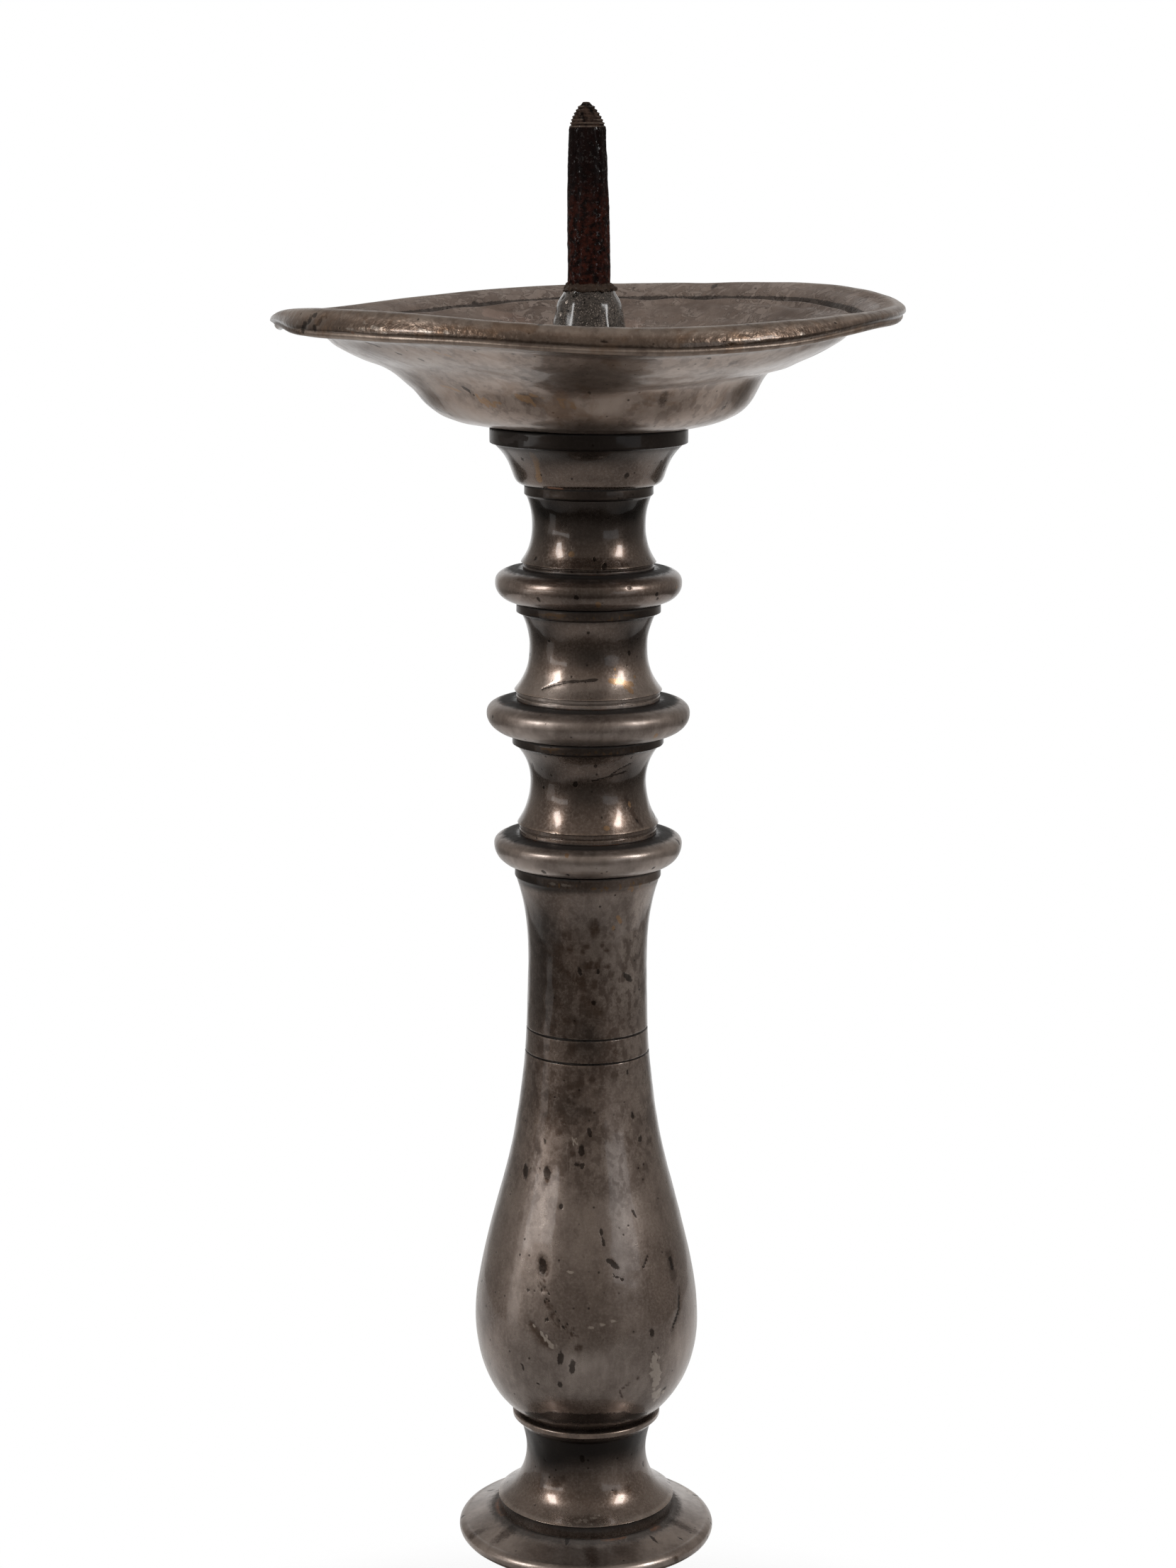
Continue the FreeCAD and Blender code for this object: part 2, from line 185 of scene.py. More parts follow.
# %% Table
table_radius, table_sides = 0.8, 96
fade_start, fade_end = 0.13, 0.22
front_edge_starts, front_edge_ends = 0.35, 0.6
greyer_before, lighter_beyond = -0.05, 0.15
table_mesh = bpy.data.meshes.new("table")
table_turns = [2 * math.pi * step / table_sides for step in range(table_sides)]
table_mesh.from_pydata([(table_radius * math.cos(a), table_radius * math.sin(a), 0) for a in table_turns], [],
                       [list(range(table_sides))])
table = bpy.data.objects.new("table", table_mesh)
bpy.context.scene.collection.objects.link(table)

paper = bpy.data.materials.new("white_table")
paper.use_nodes = True
tree = paper.node_tree
tree.nodes.clear()
place = add_node(tree, "ShaderNodeTexCoord").outputs["Object"]
reach = add_node(tree, "ShaderNodeVectorMath", {0: place}, operation="LENGTH").outputs["Value"]
path = add_node(tree, "ShaderNodeLightPath")
forward = add_node(tree, "ShaderNodeSeparateXYZ", {0: place}).outputs["Y"]
front = ramp(tree, forward, -front_edge_ends, -front_edge_starts, 1.0, 0.0)
fade = times(tree, ramp(tree, reach, fade_start, fade_end), path.outputs["Is Camera Ray"])
fade = most(tree, fade, times(tree, front, path.outputs["Is Glossy Ray"]))
seen_white = (0.93, 0.93, 0.93, 1)
mirrored_front, mirrored_back = (0.42, 0.41, 0.40, 1), (0.88, 0.86, 0.84, 1)
lighter = ramp(tree, forward, greyer_before, lighter_beyond)
mirrored_table = mix_colour(tree, lighter, mirrored_front, mirrored_back)
colour = mix_colour(tree, path.outputs["Is Glossy Ray"], seen_white, mirrored_table)
surface = add_node(tree, "ShaderNodeBsdfDiffuse", {"Color": colour})
clear = add_node(tree, "ShaderNodeBsdfTransparent")
blend = add_node(tree, "ShaderNodeMixShader", {0: fade, 1: surface.outputs[0], 2: clear.outputs[0]})
add_node(tree, "ShaderNodeOutputMaterial", {"Surface": blend.outputs[0]})
table_mesh.materials.append(paper)

# %% [markdown]
# ## Turning on the lathe
# Nearly every piece is round, so each is drawn as an outline from its bore at the top, down the
# outside and back to its bore below, and spun. The outline is drawn with straight lines, quarter
# ellipses and smooth curves. Its corners are then softened a little, as polish and age do.

# %% Outline pen


def smooth_through(points, steps=24):
    """A natural cubic curve through the points, as a dense list."""
    known = np.array(points, float)
    gaps = np.hypot(*np.diff(known, axis=0).T)
    count = len(known)
    system = np.zeros((count, count))
    right = np.zeros((count, 2))
    system[0, 0] = system[-1, -1] = 1
    for i in range(1, count - 1):
        system[i, i - 1:i + 2] = gaps[i - 1], 2 * (gaps[i - 1] + gaps[i]), gaps[i]
        right[i] = 6 * ((known[i + 1] - known[i]) / gaps[i] - (known[i] - known[i - 1]) / gaps[i - 1])
    bends = np.linalg.solve(system, right)
    made = []
    for i in range(count - 1):
        for step in range(1, steps + 1):
            b = step / steps
            a = 1 - b
            bend = ((a ** 3 - a) * bends[i] + (b ** 3 - b) * bends[i + 1]) * gaps[i] ** 2 / 6
            made.append(tuple(a * known[i] + b * known[i + 1] + bend))
    return made


class Pen:
    """Draws the outline of a turned piece. All lengths are in metres."""

    def __init__(self, radius, height):
        self.points = [(radius, height)]

    def here(self):
        return self.points[-1]

    def line(self, radius, height):
        self.points.append((radius, height))
        return self

    def steps_down(self, top, *places):
        """Lines through some places, each a radius and how far it is below the top, in mm."""
        for radius, down in places:
            self.line(radius * mm, top - down * mm)
        return self

    def curve(self, points):
        self.points += smooth_through([self.here()] + list(points))
        return self

    def quarter(self, radius, height, level_first, steps=24, fullness=1.0):
        """A quarter of an ellipse, level at one end and upright at the other. A fullness over 1 bulges."""
        start_radius, start_height = self.here()
        for step in range(1, steps + 1):
            rising = math.sin(math.pi / 2 * step / steps) ** (1 / fullness)
            falling = max(0.0, math.cos(math.pi / 2 * step / steps)) ** (1 / fullness)
            across, down = (rising, 1 - falling) if level_first else (1 - falling, rising)
            self.points.append((start_radius + (radius - start_radius) * across,
                                start_height + (height - start_height) * down))
        return self


def way_along(line):
    """How far along a line of points each of them is."""
    return np.r_[0, np.cumsum(np.hypot(*np.diff(line, axis=0).T))]


def heading_of(line):
    """The direction of a line at each of its points, as a step of length 1."""
    step = np.gradient(line, axis=0)
    return step / np.hypot(*step.T)[:, None]


def soften(points, softness, parts=3, reach=9, fewest=8):
    """Rounds the corners of an outline: a running mean over some steps, each a part of the softness."""
    known = np.array(points, float)
    along = way_along(known)
    even = np.linspace(0, along[-1], max(int(along[-1] / (softness / parts)), fewest))
    line = np.stack([np.interp(even, along, known[:, k]) for k in (0, 1)], axis=1)
    weights = np.exp(-0.5 * (np.arange(-reach, reach + 1) / parts) ** 2)
    weights /= weights.sum()
    padded = np.pad(line, ((reach, reach), (0, 0)), mode="reflect", reflect_type="odd")
    return np.stack([np.convolve(padded[:, k], weights, mode="valid") for k in (0, 1)], axis=1)


def spaced(line, longest, sharpest):
    """Picks points along a dense line: close together where it bends, far apart where it runs straight."""
    steps = np.diff(line, axis=0)
    length = np.hypot(*steps.T)
    heading = np.unwrap(np.arctan2(steps[:, 1], steps[:, 0]))
    turn = np.abs(np.r_[0, np.diff(heading)])
    cost = np.r_[0, np.cumsum(length / longest + turn / math.radians(sharpest))]
    count = int(math.ceil(cost[-1])) + 1
    wanted = np.linspace(0, cost[-1], count)
    return np.stack([np.interp(wanted, cost, line[:, k]) for k in (0, 1)], axis=1)


print("pen ready")

# %% [markdown]
# ## Skin of a turned piece
# Old castings are never quite round. Each ring of the mesh is pushed in and out by slow random
# waves and by shallow dents, so that reflections wander over it as on the real metal. Masks are
# kept on the mesh for the finish: edge, where polish rubs, seam, where dirt collects, and how
# polished, satin and spotted each place is. The polish mask also carries some painted shade and a
# painted highlight, set by height in the tables below.

# %% Levels, and the skin's tools
stack = ["base_bell", "base_flange", "trumpet_neck", "baluster", "lower_knop", "lower_drum",
         "middle_knop", "middle_drum", "upper_knop", "upper_drum", "capital", "drip_pan", "collar"]
foot_of = {name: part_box(name)[0].z for name in stack}
top_of = {below: foot_of[above] for below, above in zip(stack, stack[1:])}
top_of["collar"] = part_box("collar")[1].z
core_radius, rod_radius = 8.0 * mm, 5.0 * mm
rod_hole = rod_radius + 0.3 * mm
marks = {}


def rise(value, start, length):
    """0 up to start, then straight up to 1 over a length."""
    return np.clip((value - start) / length, 0, 1)


def across_from(angle, turn, radius):
    """How far round a surface each place is from a turn, to either side."""
    return (np.mod(angle - turn + math.pi, 2 * math.pi) - math.pi) * radius


def wander(angle, along, seed, finest, turns, waves=20):
    """Slow random waves over a turned surface, mostly between -2 and 2, none shorter than finest along it."""
    random = np.random.default_rng(seed)
    total = np.zeros(np.broadcast(angle, along).shape)
    for _ in range(waves):
        around = random.integers(-turns, turns + 1)
        rate = random.uniform(-1, 1) * 2 * math.pi / finest
        total += np.cos(around * angle + rate * along + random.uniform(0, 2 * math.pi))
    return total * math.sqrt(2 / waves)


def dents(angle, along, radius, seed, count, size, depth):
    """Shallow round dents at random places. The result is how far the surface goes in."""
    random = np.random.default_rng(seed)
    total = np.zeros(np.broadcast(angle, along).shape)
    for _ in range(count):
        turn, place = random.uniform(-math.pi, math.pi), random.uniform(along.min(), along.max())
        wide = size * random.uniform(0.5, 1.5)
        off = (across_from(angle, turn, radius) ** 2 + (along - place) ** 2) / wide ** 2
        total += depth * random.uniform(0.3, 1) * np.exp(-off)
    return total


def spread(values, along, reach):
    """Blurs values over a distance along the outline."""
    step = along[1] - along[0]
    half = max(int(3 * reach / step), 1)
    weights = np.exp(-0.5 * (np.arange(-half, half + 1) * step / reach) ** 2)
    return np.convolve(np.pad(values, half, mode="edge"), weights / weights.sum(), mode="valid")


def measured(line, bend_reach=0.5 * mm):
    """The way along a dense outline, and how sharply it bends outwards (positive) or inwards there."""
    along = way_along(line)
    heading = np.unwrap(np.arctan2(*np.gradient(line, axis=0).T[::-1]))
    ahead = np.interp(along + bend_reach, along, heading)
    behind = np.interp(along - bend_reach, along, heading)
    return along, behind - ahead


def creased(bend, along, reach, least=0.25, span=0.9):
    """A mask of where an outline bends by more than least, spread over a reach along it."""
    return spread(rise(bend, least, span), along, reach)


def laid_rings(line, along, longest, sharpest):
    """The rings of a mesh along a dense outline, and how far along it each of them is."""
    rings = spaced(line, longest, sharpest)
    way = way_along(rings)
    return rings, way * (along[-1] / way[-1])


def full_turn(segments):
    """The angles of a full turn, as one row."""
    return np.linspace(0, 2 * math.pi, segments, endpoint=False)[None, :]


def pushed(rings, push):
    """The radius and height of rings once they are pushed outwards, square to their outline."""
    heading = heading_of(rings)
    return rings[:, :1] - heading[:, 1:] * push, rings[:, 1:] + heading[:, :1] * push


def spun(angle, radius, height):
    """The points of rings that have this radius and height at each angle."""
    return np.stack([radius * np.cos(angle), radius * np.sin(angle), height + 0 * angle], axis=-1)


class Mark:
    """A rubbed, stained or damaged place on a piece; a few marks paint shade, a reflection and glints.

    Its path is one point, or several joined by a line. Each is a turn in degrees to the right of the front,
    and a height in mm. wide and tall are half its size in mm, and depth how far it goes in.
    """

    too_far = 99.0

    def __init__(self, kind, path, wide, tall=None, slant=0, depth=0.0):
        self.kind = kind
        self.path = [(math.radians(turn - 90), height * mm) for turn, height in path]
        self.wide = wide * mm
        self.tall = (tall or wide) * mm
        self.slant = math.radians(slant)
        self.depth = depth * mm

    def distance(self, angle, height, radius):
        """How far each place of a surface is from the mark: 0 in its middle, 1 at its outline."""
        nearest = np.full(np.broadcast(angle, height).shape, self.too_far)
        for (turn_a, high_a), (turn_b, high_b) in zip(self.path, self.path[1:] or self.path):
            across = across_from(angle, turn_a, radius)
            up = height - high_a + 0 * across
            if len(self.path) > 1:
                run = np.stack([(turn_b - turn_a) * radius + 0 * up, high_b - high_a + 0 * up])
                share = np.clip((across * run[0] + up * run[1]) / (run ** 2).sum(axis=0), 0, 1)
                off = np.hypot(across - share * run[0], up - share * run[1]) / self.wide
            else:
                turned_across = across * math.cos(self.slant) + up * math.sin(self.slant)
                turned_up = up * math.cos(self.slant) - across * math.sin(self.slant)
                off = np.hypot(turned_across / self.wide, turned_up / self.tall)
            nearest = np.minimum(nearest, off)
        return nearest

    def depth_at(self, angle, height, radius):
        if not self.depth:
            return 0.0
        return self.depth * np.exp(-self.distance(angle, height, radius) ** 4)


mark_kinds = ("rubbed", "rust", "rough", "black", "pale")


def painted(found, angle, height, radius):
    """One mask for each kind of mark: 0.5 on an outline, more inside it."""
    masks = {kind: np.zeros(np.broadcast(angle, height).shape) for kind in mark_kinds}
    for mark in found:
        share = np.clip(1.5 - mark.distance(angle, height, radius), 0, 1)
        masks[mark.kind] = np.maximum(masks[mark.kind], share)
    return masks


def dots(kind, *rows):
    """Marks of one kind. Each row is a turn, a height, half a width, half a height, a slant and a depth."""
    return [Mark(kind, [row[:2]], *row[2:]) for row in rows]


def paths(kind, *rows):
    """Marks of one kind along paths. Each row is half a width, a depth and the places that it joins."""
    return [Mark(kind, places, wide, depth=depth) for wide, depth, *places in rows]


def strewn(kind, count, seed, heights, size, depth=0.0, stretch=1.0):
    """Small marks at random places between two heights, all the way round."""
    random = np.random.default_rng(seed)
    made = []
    for _ in range(count):
        wide = size * random.uniform(0.5, 1.5)
        place = (random.uniform(-180, 180), random.uniform(*heights))
        tall = wide * stretch * random.uniform(0.7, 1.6)
        made.append(Mark(kind, [place], wide, tall, random.uniform(-60, 60), depth * random.uniform(0.4, 1)))
    return made


def trail(kind, path, count, seed, size, reach, depth=0.0):
    """Small marks scattered along a path, up to reach mm from it."""
    random = np.random.default_rng(seed)
    made = []
    for _ in range(count):
        along, place = random.uniform(0, len(path) - 1), np.array(path, float)
        start = int(along)
        turn, height = place[start] + (along - start) * (place[start + 1] - place[start])
        wide = size * random.uniform(0.6, 1.4)
        place = (turn + random.normal(0, reach) * 2, height + random.normal(0, reach))
        tall = wide * random.uniform(0.7, 1.5)
        made.append(Mark(kind, [place], wide, tall, random.uniform(-60, 60), depth * random.uniform(0.4, 1)))
    return made


# How worn the patina is at some heights in mm: 0 is black, 0.5 plain and 1 polished bright. Part of it
# is painted light: the black on the capital's band under the pan, on the trumpet's top under its ring
# and just under the trumpet's lip is painted shade, the bright line on that lip is a painted highlight,
# and low on the bulb the falling values add to a painted dark reflection of the ring below.
wear_and_painted_light = {"capital": [(406, 0.42), (411, 0.4), (414, 0.28), (416.5, 0.15), (417.2, 0.08), (417.6, 0.02)],
        "upper_drum": [(383, 0.3), (387, 0.34), (393, 0.1), (402, 0.1), (403.4, 0.08)],
        "upper_knop": [(381.2, 0.52), (382.2, 0.38), (382.6, 0.05)],
        "middle_drum": [(347, 0.8), (352, 0.75), (358, 0.33), (369, 0.3), (370.6, 0.1)],
        "middle_knop": [(344.3, 1.0), (345.2, 0.75), (345.6, 0.05)],
        "lower_drum": [(309, 0.5), (315, 0.42), (320, 0.28), (332, 0.36), (333.4, 0.1)],
        "lower_knop": [(306.2, 0.95), (307, 0.7), (307.4, 0.05)],
        "baluster": [(136, 0.35), (141, 0.7), (150, 1.0), (158, 0.86), (168, 0.68), (195, 0.66), (215, 0.6),
                     (244, 0.53), (262, 0.54), (280, 0.6), (293, 0.6), (294.8, 0.2)],
        "trumpet_neck": [(105, 0.35), (107.5, 0.15), (108.7, 0.0), (109.0, 1.0), (109.5, 1.0), (109.9, 0.62),
                         (113, 0.57), (117, 0.46), (121, 0.3), (125, 0.08), (128, 0.0), (132, 0.0),
                         (133.6, 0.55)],
        "base_flange": [(98, 0.95)], "base_bell": [(90, 0.6)], "collar": [(440, 0.5)]}
# Patches that are darker or brighter than that: the turn, the height, half the width and half the
# height in mm, and how much. The dark band across the front of the upper knop is a painted
# reflection of the dark room, and the capital's darker patches near its top are painted shade under
# the pan.
patches = {"baluster": [(-45, 262, 9, 20, -0.35), (5, 252, 6, 8, -0.3), (40, 275, 9, 18, 0.25),
                        (0, 285, 8, 8, 0.15), (-20, 232, 12, 6, -0.25), (-30, 200, 9, 12, 0.15),
                        (-38, 176, 9, 14, 0.2), (48, 178, 9, 16, -0.12), (50, 255, 8, 30, 0.3),
                        (-62, 165, 10, 20, -0.3), (64, 165, 10, 20, -0.1), (0, 163, 13, 6, 0.15),
                        (10, 152, 10, 7, -0.1), (25, 205, 6, 14, 0.2), (-50, 284, 9, 13, -0.4)],
           "upper_drum": [(-47, 400, 6, 3, -0.15), (47, 400, 6, 3, -0.15)],
           "middle_drum": [(5, 360, 7, 3, -0.2), (-28, 349, 9, 3, 0.2), (0, 367, 9, 3, 0.25),
                           (-48, 366, 6, 5, -0.25), (48, 366, 6, 5, -0.25)],
           "lower_drum": [(2, 322, 9, 4, -0.15), (0, 329, 9, 3, 0.15), (-48, 328, 6, 5, -0.25),
                          (48, 328, 6, 5, -0.25)],
           "upper_knop": [(0, 379, 11, 3, -0.3), (-65, 379, 8, 4, 0.25)],
           "trumpet_neck": [(-40, 121, 8, 5, -0.2), (10, 116, 7, 3, -0.15), (32, 122, 5, 4, 0.15)],
           "capital": [(-35, 414, 8, 4, -0.1), (0, 409.5, 13, 2.4, 0.12), (0, 415, 14, 1.6, -0.12)]}
# How satin, rather than glossy, a piece is at some heights in mm.
satin = {"upper_knop": [(0, 0.35)], "middle_knop": [(0, 1.0)], "lower_knop": [(0, 0.65)],
         "base_flange": [(0, 0.4)], "collar": [(0, 0.1)], "capital": [(416.0, 0.0), (416.8, 0.9)],
         "upper_drum": [(402.6, 0.0), (403.2, 0.9)], "middle_drum": [(369.6, 0.2), (370.4, 0.9)],
         "lower_drum": [(332.4, 0.0), (333.2, 0.9)], "baluster": [(293, 0.25), (295, 1.0)],
         "trumpet_neck": [(116, 0.0), (125, 1.0), (132, 1.0), (133.5, 0.2)]}
no_satin = [(0, 0.0)]
# How spotted with dark blotches a piece is at some heights in mm.
spotted = {"baluster": [(140, 0.15), (195, 0.2), (212, 0.55), (235, 0.8), (278, 0.7), (292, 0.25)]}
plain_spots = [(0, 0.2)]


def polish_and_painted_light(name, angle, height, radius):
    """How rubbed the patina of a piece is at each place, painted shade and highlight included."""
    total = np.interp(height / mm, *zip(*wear_and_painted_light[name])) + 0 * angle
    for turn, level, wide, tall, amount in patches.get(name, []):
        across = across_from(angle, math.radians(turn - 90), radius)
        off = (across / (wide * mm)) ** 2 + ((height - level * mm) / (tall * mm)) ** 2
        total = total + amount * np.exp(-off)
    return np.clip(total, 0, 1)


def mesh_object(name, rings, masks, closed=True):
    """A mesh from rings of points, shape (rings, segments, 3). Closed joins the last ring to the first."""
    count, segments = rings.shape[:2]
    index = np.arange(count * segments).reshape(count, segments)
    low, high = (index, np.roll(index, -1, axis=0)) if closed else (index[:-1], index[1:])
    quads = np.stack([low, high, np.roll(high, -1, axis=1), np.roll(low, -1, axis=1)], axis=-1).reshape(-1, 4)
    faces = quads.tolist()
    if not closed:
        faces += [index[0].tolist(), index[-1][::-1].tolist()]
    mesh = bpy.data.meshes.new(name)
    mesh.from_pydata(rings.reshape(-1, 3).tolist(), [], faces)
    mesh.polygons.foreach_set("use_smooth", [True] * len(faces))
    for key, values in masks.items():
        layer = mesh.attributes.new(key, "FLOAT", "POINT")
        layer.data.foreach_set("value", np.broadcast_to(values, rings.shape[:2]).astype(np.float32).ravel())
    made = bpy.data.objects.new(name, mesh)
    bpy.context.scene.collection.objects.link(made)
    return made


hidden_in_joint, joint_fade = 0.1 * mm, 0.8 * mm
seam_least, seam_span = 0.2, 0.7


def turned(name, pen, seed, softness=0.14 * mm, longest=0.8 * mm, segments=288, out_of_round=0.05 * mm,
           dent_depth=0.06 * mm, dent_size=3.0 * mm, dirt=(0.5 * mm, 0.5 * mm), bottom=None):
    """Spins an outline into a piece called skin_NAME that stands for the plain solid of that name."""
    top, bottom = pen.points[0][1], pen.points[-1][1] if bottom is None else bottom
    line = soften(pen.points, softness)
    along, bend = measured(line)
    outside = (line[:, 1] < top - hidden_in_joint) & (line[:, 1] > bottom + hidden_in_joint)
    first, last = along[outside][0], along[outside][-1]
    near_joint = np.exp(-np.abs(along - first) / dirt[0]) + np.exp(-np.abs(last - along) / dirt[1])
    edge = creased(bend, along, 0.3 * mm)
    seam = np.clip(creased(-bend, along, 0.7 * mm, seam_least, seam_span) + near_joint, 0, 1)
    rings, way = laid_rings(line, along, longest, 9)
    angle, radius, height, place = full_turn(segments), rings[:, :1], rings[:, 1:], way[:, None]
    push = out_of_round * wander(angle, place, seed, 25 * mm, 4)
    push = push + 0.25 * out_of_round * wander(angle, place, seed + 1, 6 * mm, 24)
    push = push - dents(angle, place, radius, seed + 2, 40, dent_size, dent_depth)
    found = marks.get(name, [])
    push = push - sum(mark.depth_at(angle, height, radius) for mark in found)
    free = np.clip(np.minimum(place - first, last - place) / joint_fade, 0, 1)
    push = np.where((place > first) & (place < last), push * free, 0)
    masks = {"edge": np.interp(way, along, edge)[:, None], "seam": np.interp(way, along, seam)[:, None],
             "polish_and_painted_light": polish_and_painted_light(name, angle, height, radius),
             "satin": np.interp(height / mm, *zip(*satin.get(name, no_satin))),
             "spots": np.interp(height / mm, *zip(*spotted.get(name, plain_spots)))}
    masks.update(painted(found, angle, height, radius))
    made = mesh_object("skin_" + name, spun(angle, *pushed(rings, push)), masks)
    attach(made, "root")
    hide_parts(name)
    print(made.name, "rings", len(rings), "faces", len(made.data.polygons))
    return made


# %% [markdown]
# ## Marks of age
# The worst marks are placed where the real one has them: casting pits, dents, cracks,
# drips, stains, and spots where the dark patina has rubbed through to yellow metal. Each one paints
# a mask on the mesh, and the deeper ones dent it too. Smaller ones are strewn all round, or along
# a few paths, from fixed seeds.
# A few marks are painted light: shade in the pan, a dark reflection on the bulb, glints on the rim.

# %% Marks of age
marks["capital"] = [
    *paths("rubbed", (0.75, 0, (-38, 415.8), (-39, 412), (-40, 409))),
    *dots("rubbed", (-38, 414.4, 1.2, 2.2), (-40, 409.2, 1.1, 1.4)),
    *paths("rust", (0.8, 0, (-62, 420), (-54, 419), (-46, 420.5)), (0.4, 0, (-34, 406.5), (-22, 406.3))),
    *dots("rust", (-40, 420.5, 2.0, 0.7)),
    *strewn("black", 10, 302, (407, 416), 0.5, 0.04)]
marks["upper_drum"] = [
    *dots("rubbed", (-16, 388.5, 0.9, 0.7)),
    *strewn("black", 12, 304, (384, 402), 0.5, 0.05, 1.4)]
marks["middle_drum"] = [
    *paths("rubbed", (0.3, 0, (-55, 371), (-35, 372), (-18, 372)), (0.3, 0, (29, 372), (39, 371.5)),
           (0.7, 0, (20, 353.6), (29, 353.2), (41, 352.2)), (0.8, 0, (34, 352.6), (38, 350.5))),
    *paths("black", (0.3, 0.12, (-42, 350.8), (-32, 352.3), (-18, 353.4), (8, 354))),
    *dots("rubbed", (47, 354, 0.5), (26, 356.5, 0.4)),
    *strewn("black", 10, 338, (347, 370), 0.4, 0.05),
    *trail("rubbed", [(21, 354), (30, 353.4), (39, 351.4)], 18, 346, 0.4, 0.5),
    *trail("rubbed", [(-50, 371.2), (0, 371.2), (50, 371.2)], 26, 347, 0.3, 0.3)]
marks["lower_drum"] = [
    *paths("rubbed", (0.3, 0, (-38, 334.5), (-22, 335))),
    *dots("rubbed", (16, 312.5, 1.0, 0.6), (44, 318, 0.5, 0.8)),
    *paths("rough", (0.8, 0, (40, 320), (46, 316), (52, 312))),
    *paths("black", (0.26, 0.08, (4, 325.5), (20, 326.5), (38, 327.6)),
           (0.22, 0.06, (22, 327), (30, 328.6), (42, 330))),
    *strewn("black", 12, 312, (309, 333), 0.5, 0.05, 1.4),
    *trail("rubbed", [(-50, 334), (0, 334), (50, 334)], 26, 348, 0.3, 0.3)]
for name, first_seed, black_count, rubbed_to, black_to in (("upper_knop", 305, 12, 383, 382),
                                                           ("middle_knop", 309, 14, 346, 346),
                                                           ("lower_knop", 313, 14, 308, 308)):
    marks[name] = [*strewn("rubbed", 3, first_seed, (rubbed_to - 8, rubbed_to), 0.5),
                   *strewn("black", black_count, first_seed + 1, (rubbed_to - 8, black_to), 0.5, 0.08)]
crack_on_bulb = [(-25, 183), (-23, 179.5), (-19, 176), (-13, 172), (-6, 169.5)]
marks["baluster"] = [
    *paths("pale", (0.3, 0, (-34, 297), (-26, 296.6)), (0.3, 0, (-20, 296.4), (-8, 296.2)),
           (0.2, 0, (1, 171.5), (8, 172.5), (15, 173.5)), (0.2, 0, (-14, 186.5), (-9, 187), (-4, 186.5)),
           (0.25, 0, (-11, 222), (-8, 224)), (0.25, 0, (-12, 223.5), (-8, 222))),
    *dots("pale", (40.5, 153.5, 1.1, 2.8), (44.5, 147.6, 1.8, 1.7)),
    *paths("rubbed", (0.6, 0, (28, 286.6), (31, 285.2))),
    *dots("rubbed", (24, 283.5, 0.5, 0.8)),
    *paths("rough", (1.8, 0.03, (2, 262), (9, 259.5)), (1.3, 0.12, (-29, 171), (-23, 168)),
           (1.8, 0.05, (55, 188), (55.5, 182)), (0.8, 0.05, (59, 178), (56, 172), (49, 167)),
           (0.35, 0, (23, 154), (18, 152), (20, 149.5))),
    *dots("rough", (-12, 269, 1.3, 1.5), (-4, 263.5, 1.0, 1.2), (-30, 275, 2.2, 3.0), (-34, 262, 2.6, 2.2),
          (-20, 257, 2.0, 1.5), (4, 240, 1.2, 0.9), (-14, 249, 1.3, 2.4), (-25, 187.5, 2.2, 3.3, 12, 0.12),
          (-21, 167, 2.9, 1.8, -30, 0.12), (-4, 166, 1.4, 1.2), (28, 155, 0.6, 0.8)),
    # The two widest black paths low on the bulb paint a dark reflection of the ring below it.
    *paths("black", (1.3, 0, (-43, 139.8), (-30, 141.2), (-14, 142.1), (14, 142.1), (30, 141.2), (43, 139.8)),
           (2.3, 0, (-24, 141.5), (-10, 142), (10, 142), (24, 141.5)), (0.3, 0.05, (-35, 159), (-34, 157)),
           (0.7, 0, (55, 187), (55.5, 184)), (0.4, 0, (58, 176), (56, 172), (50, 168)),
           (0.3, 0.05, (15, 186), (20, 184.5)), (0.3, 0.05, (33, 186.5), (38, 190)),
           (0.3, 0.05, (31, 203), (33, 201))),
    *dots("black", (-51, 212, 1.1, 2.2, 15, 0.12), (-30, 213, 1.1, 1.9, 15, 0.12),
          (-8, 216.5, 0.7, 0.7, 0, 0.08), (-3.5, 216, 0.7, 0.9, 0, 0.08), (-17, 204.5, 0.7, 0.7, 0, 0.1),
          (-25.5, 188, 1.2, 2.2, 12, 0.1), (-33, 180.5, 0.5, 0.6, 0, 0.06), (-13, 162.5, 0.9, 2.2, -6, 0.2),
          (-7, 160.3, 0.9, 2.2, -6, 0.2), (42, 228.5, 0.6, 1.2, 0, 0.1), (-26, 153.5, 0.5, 0.5, 0, 0.06),
          (10, 195, 0.5, 1.2, 10, 0.05)),
    *strewn("black", 34, 315, (145, 290), 0.6, 0.06, 1.8),
    *strewn("rough", 46, 316, (205, 288), 1.1, 0.0, 1.5),
    *trail("rough", crack_on_bulb, 50, 331, 0.42, 0.7, 0.08),
    *trail("black", crack_on_bulb, 22, 332, 0.28, 0.6, 0.1),
    *trail("pale", [(-29, 171), (-23, 168.4), (-16, 165.4)], 14, 333, 0.35, 0.35),
    *trail("pale", [(36, 162), (38, 158), (41, 154), (43, 149), (46, 146)], 60, 334, 0.6, 0.9),
    *trail("rubbed", [(-50, 295.8), (0, 295.8), (50, 295.8)], 40, 349, 0.3, 0.5),
    *trail("rough", [(-52, 240), (-40, 262), (-35, 284)], 40, 335, 1.2, 4.0),
    *trail("rough", [(-15, 222), (-5, 250), (5, 280)], 36, 336, 1.0, 5.0)]
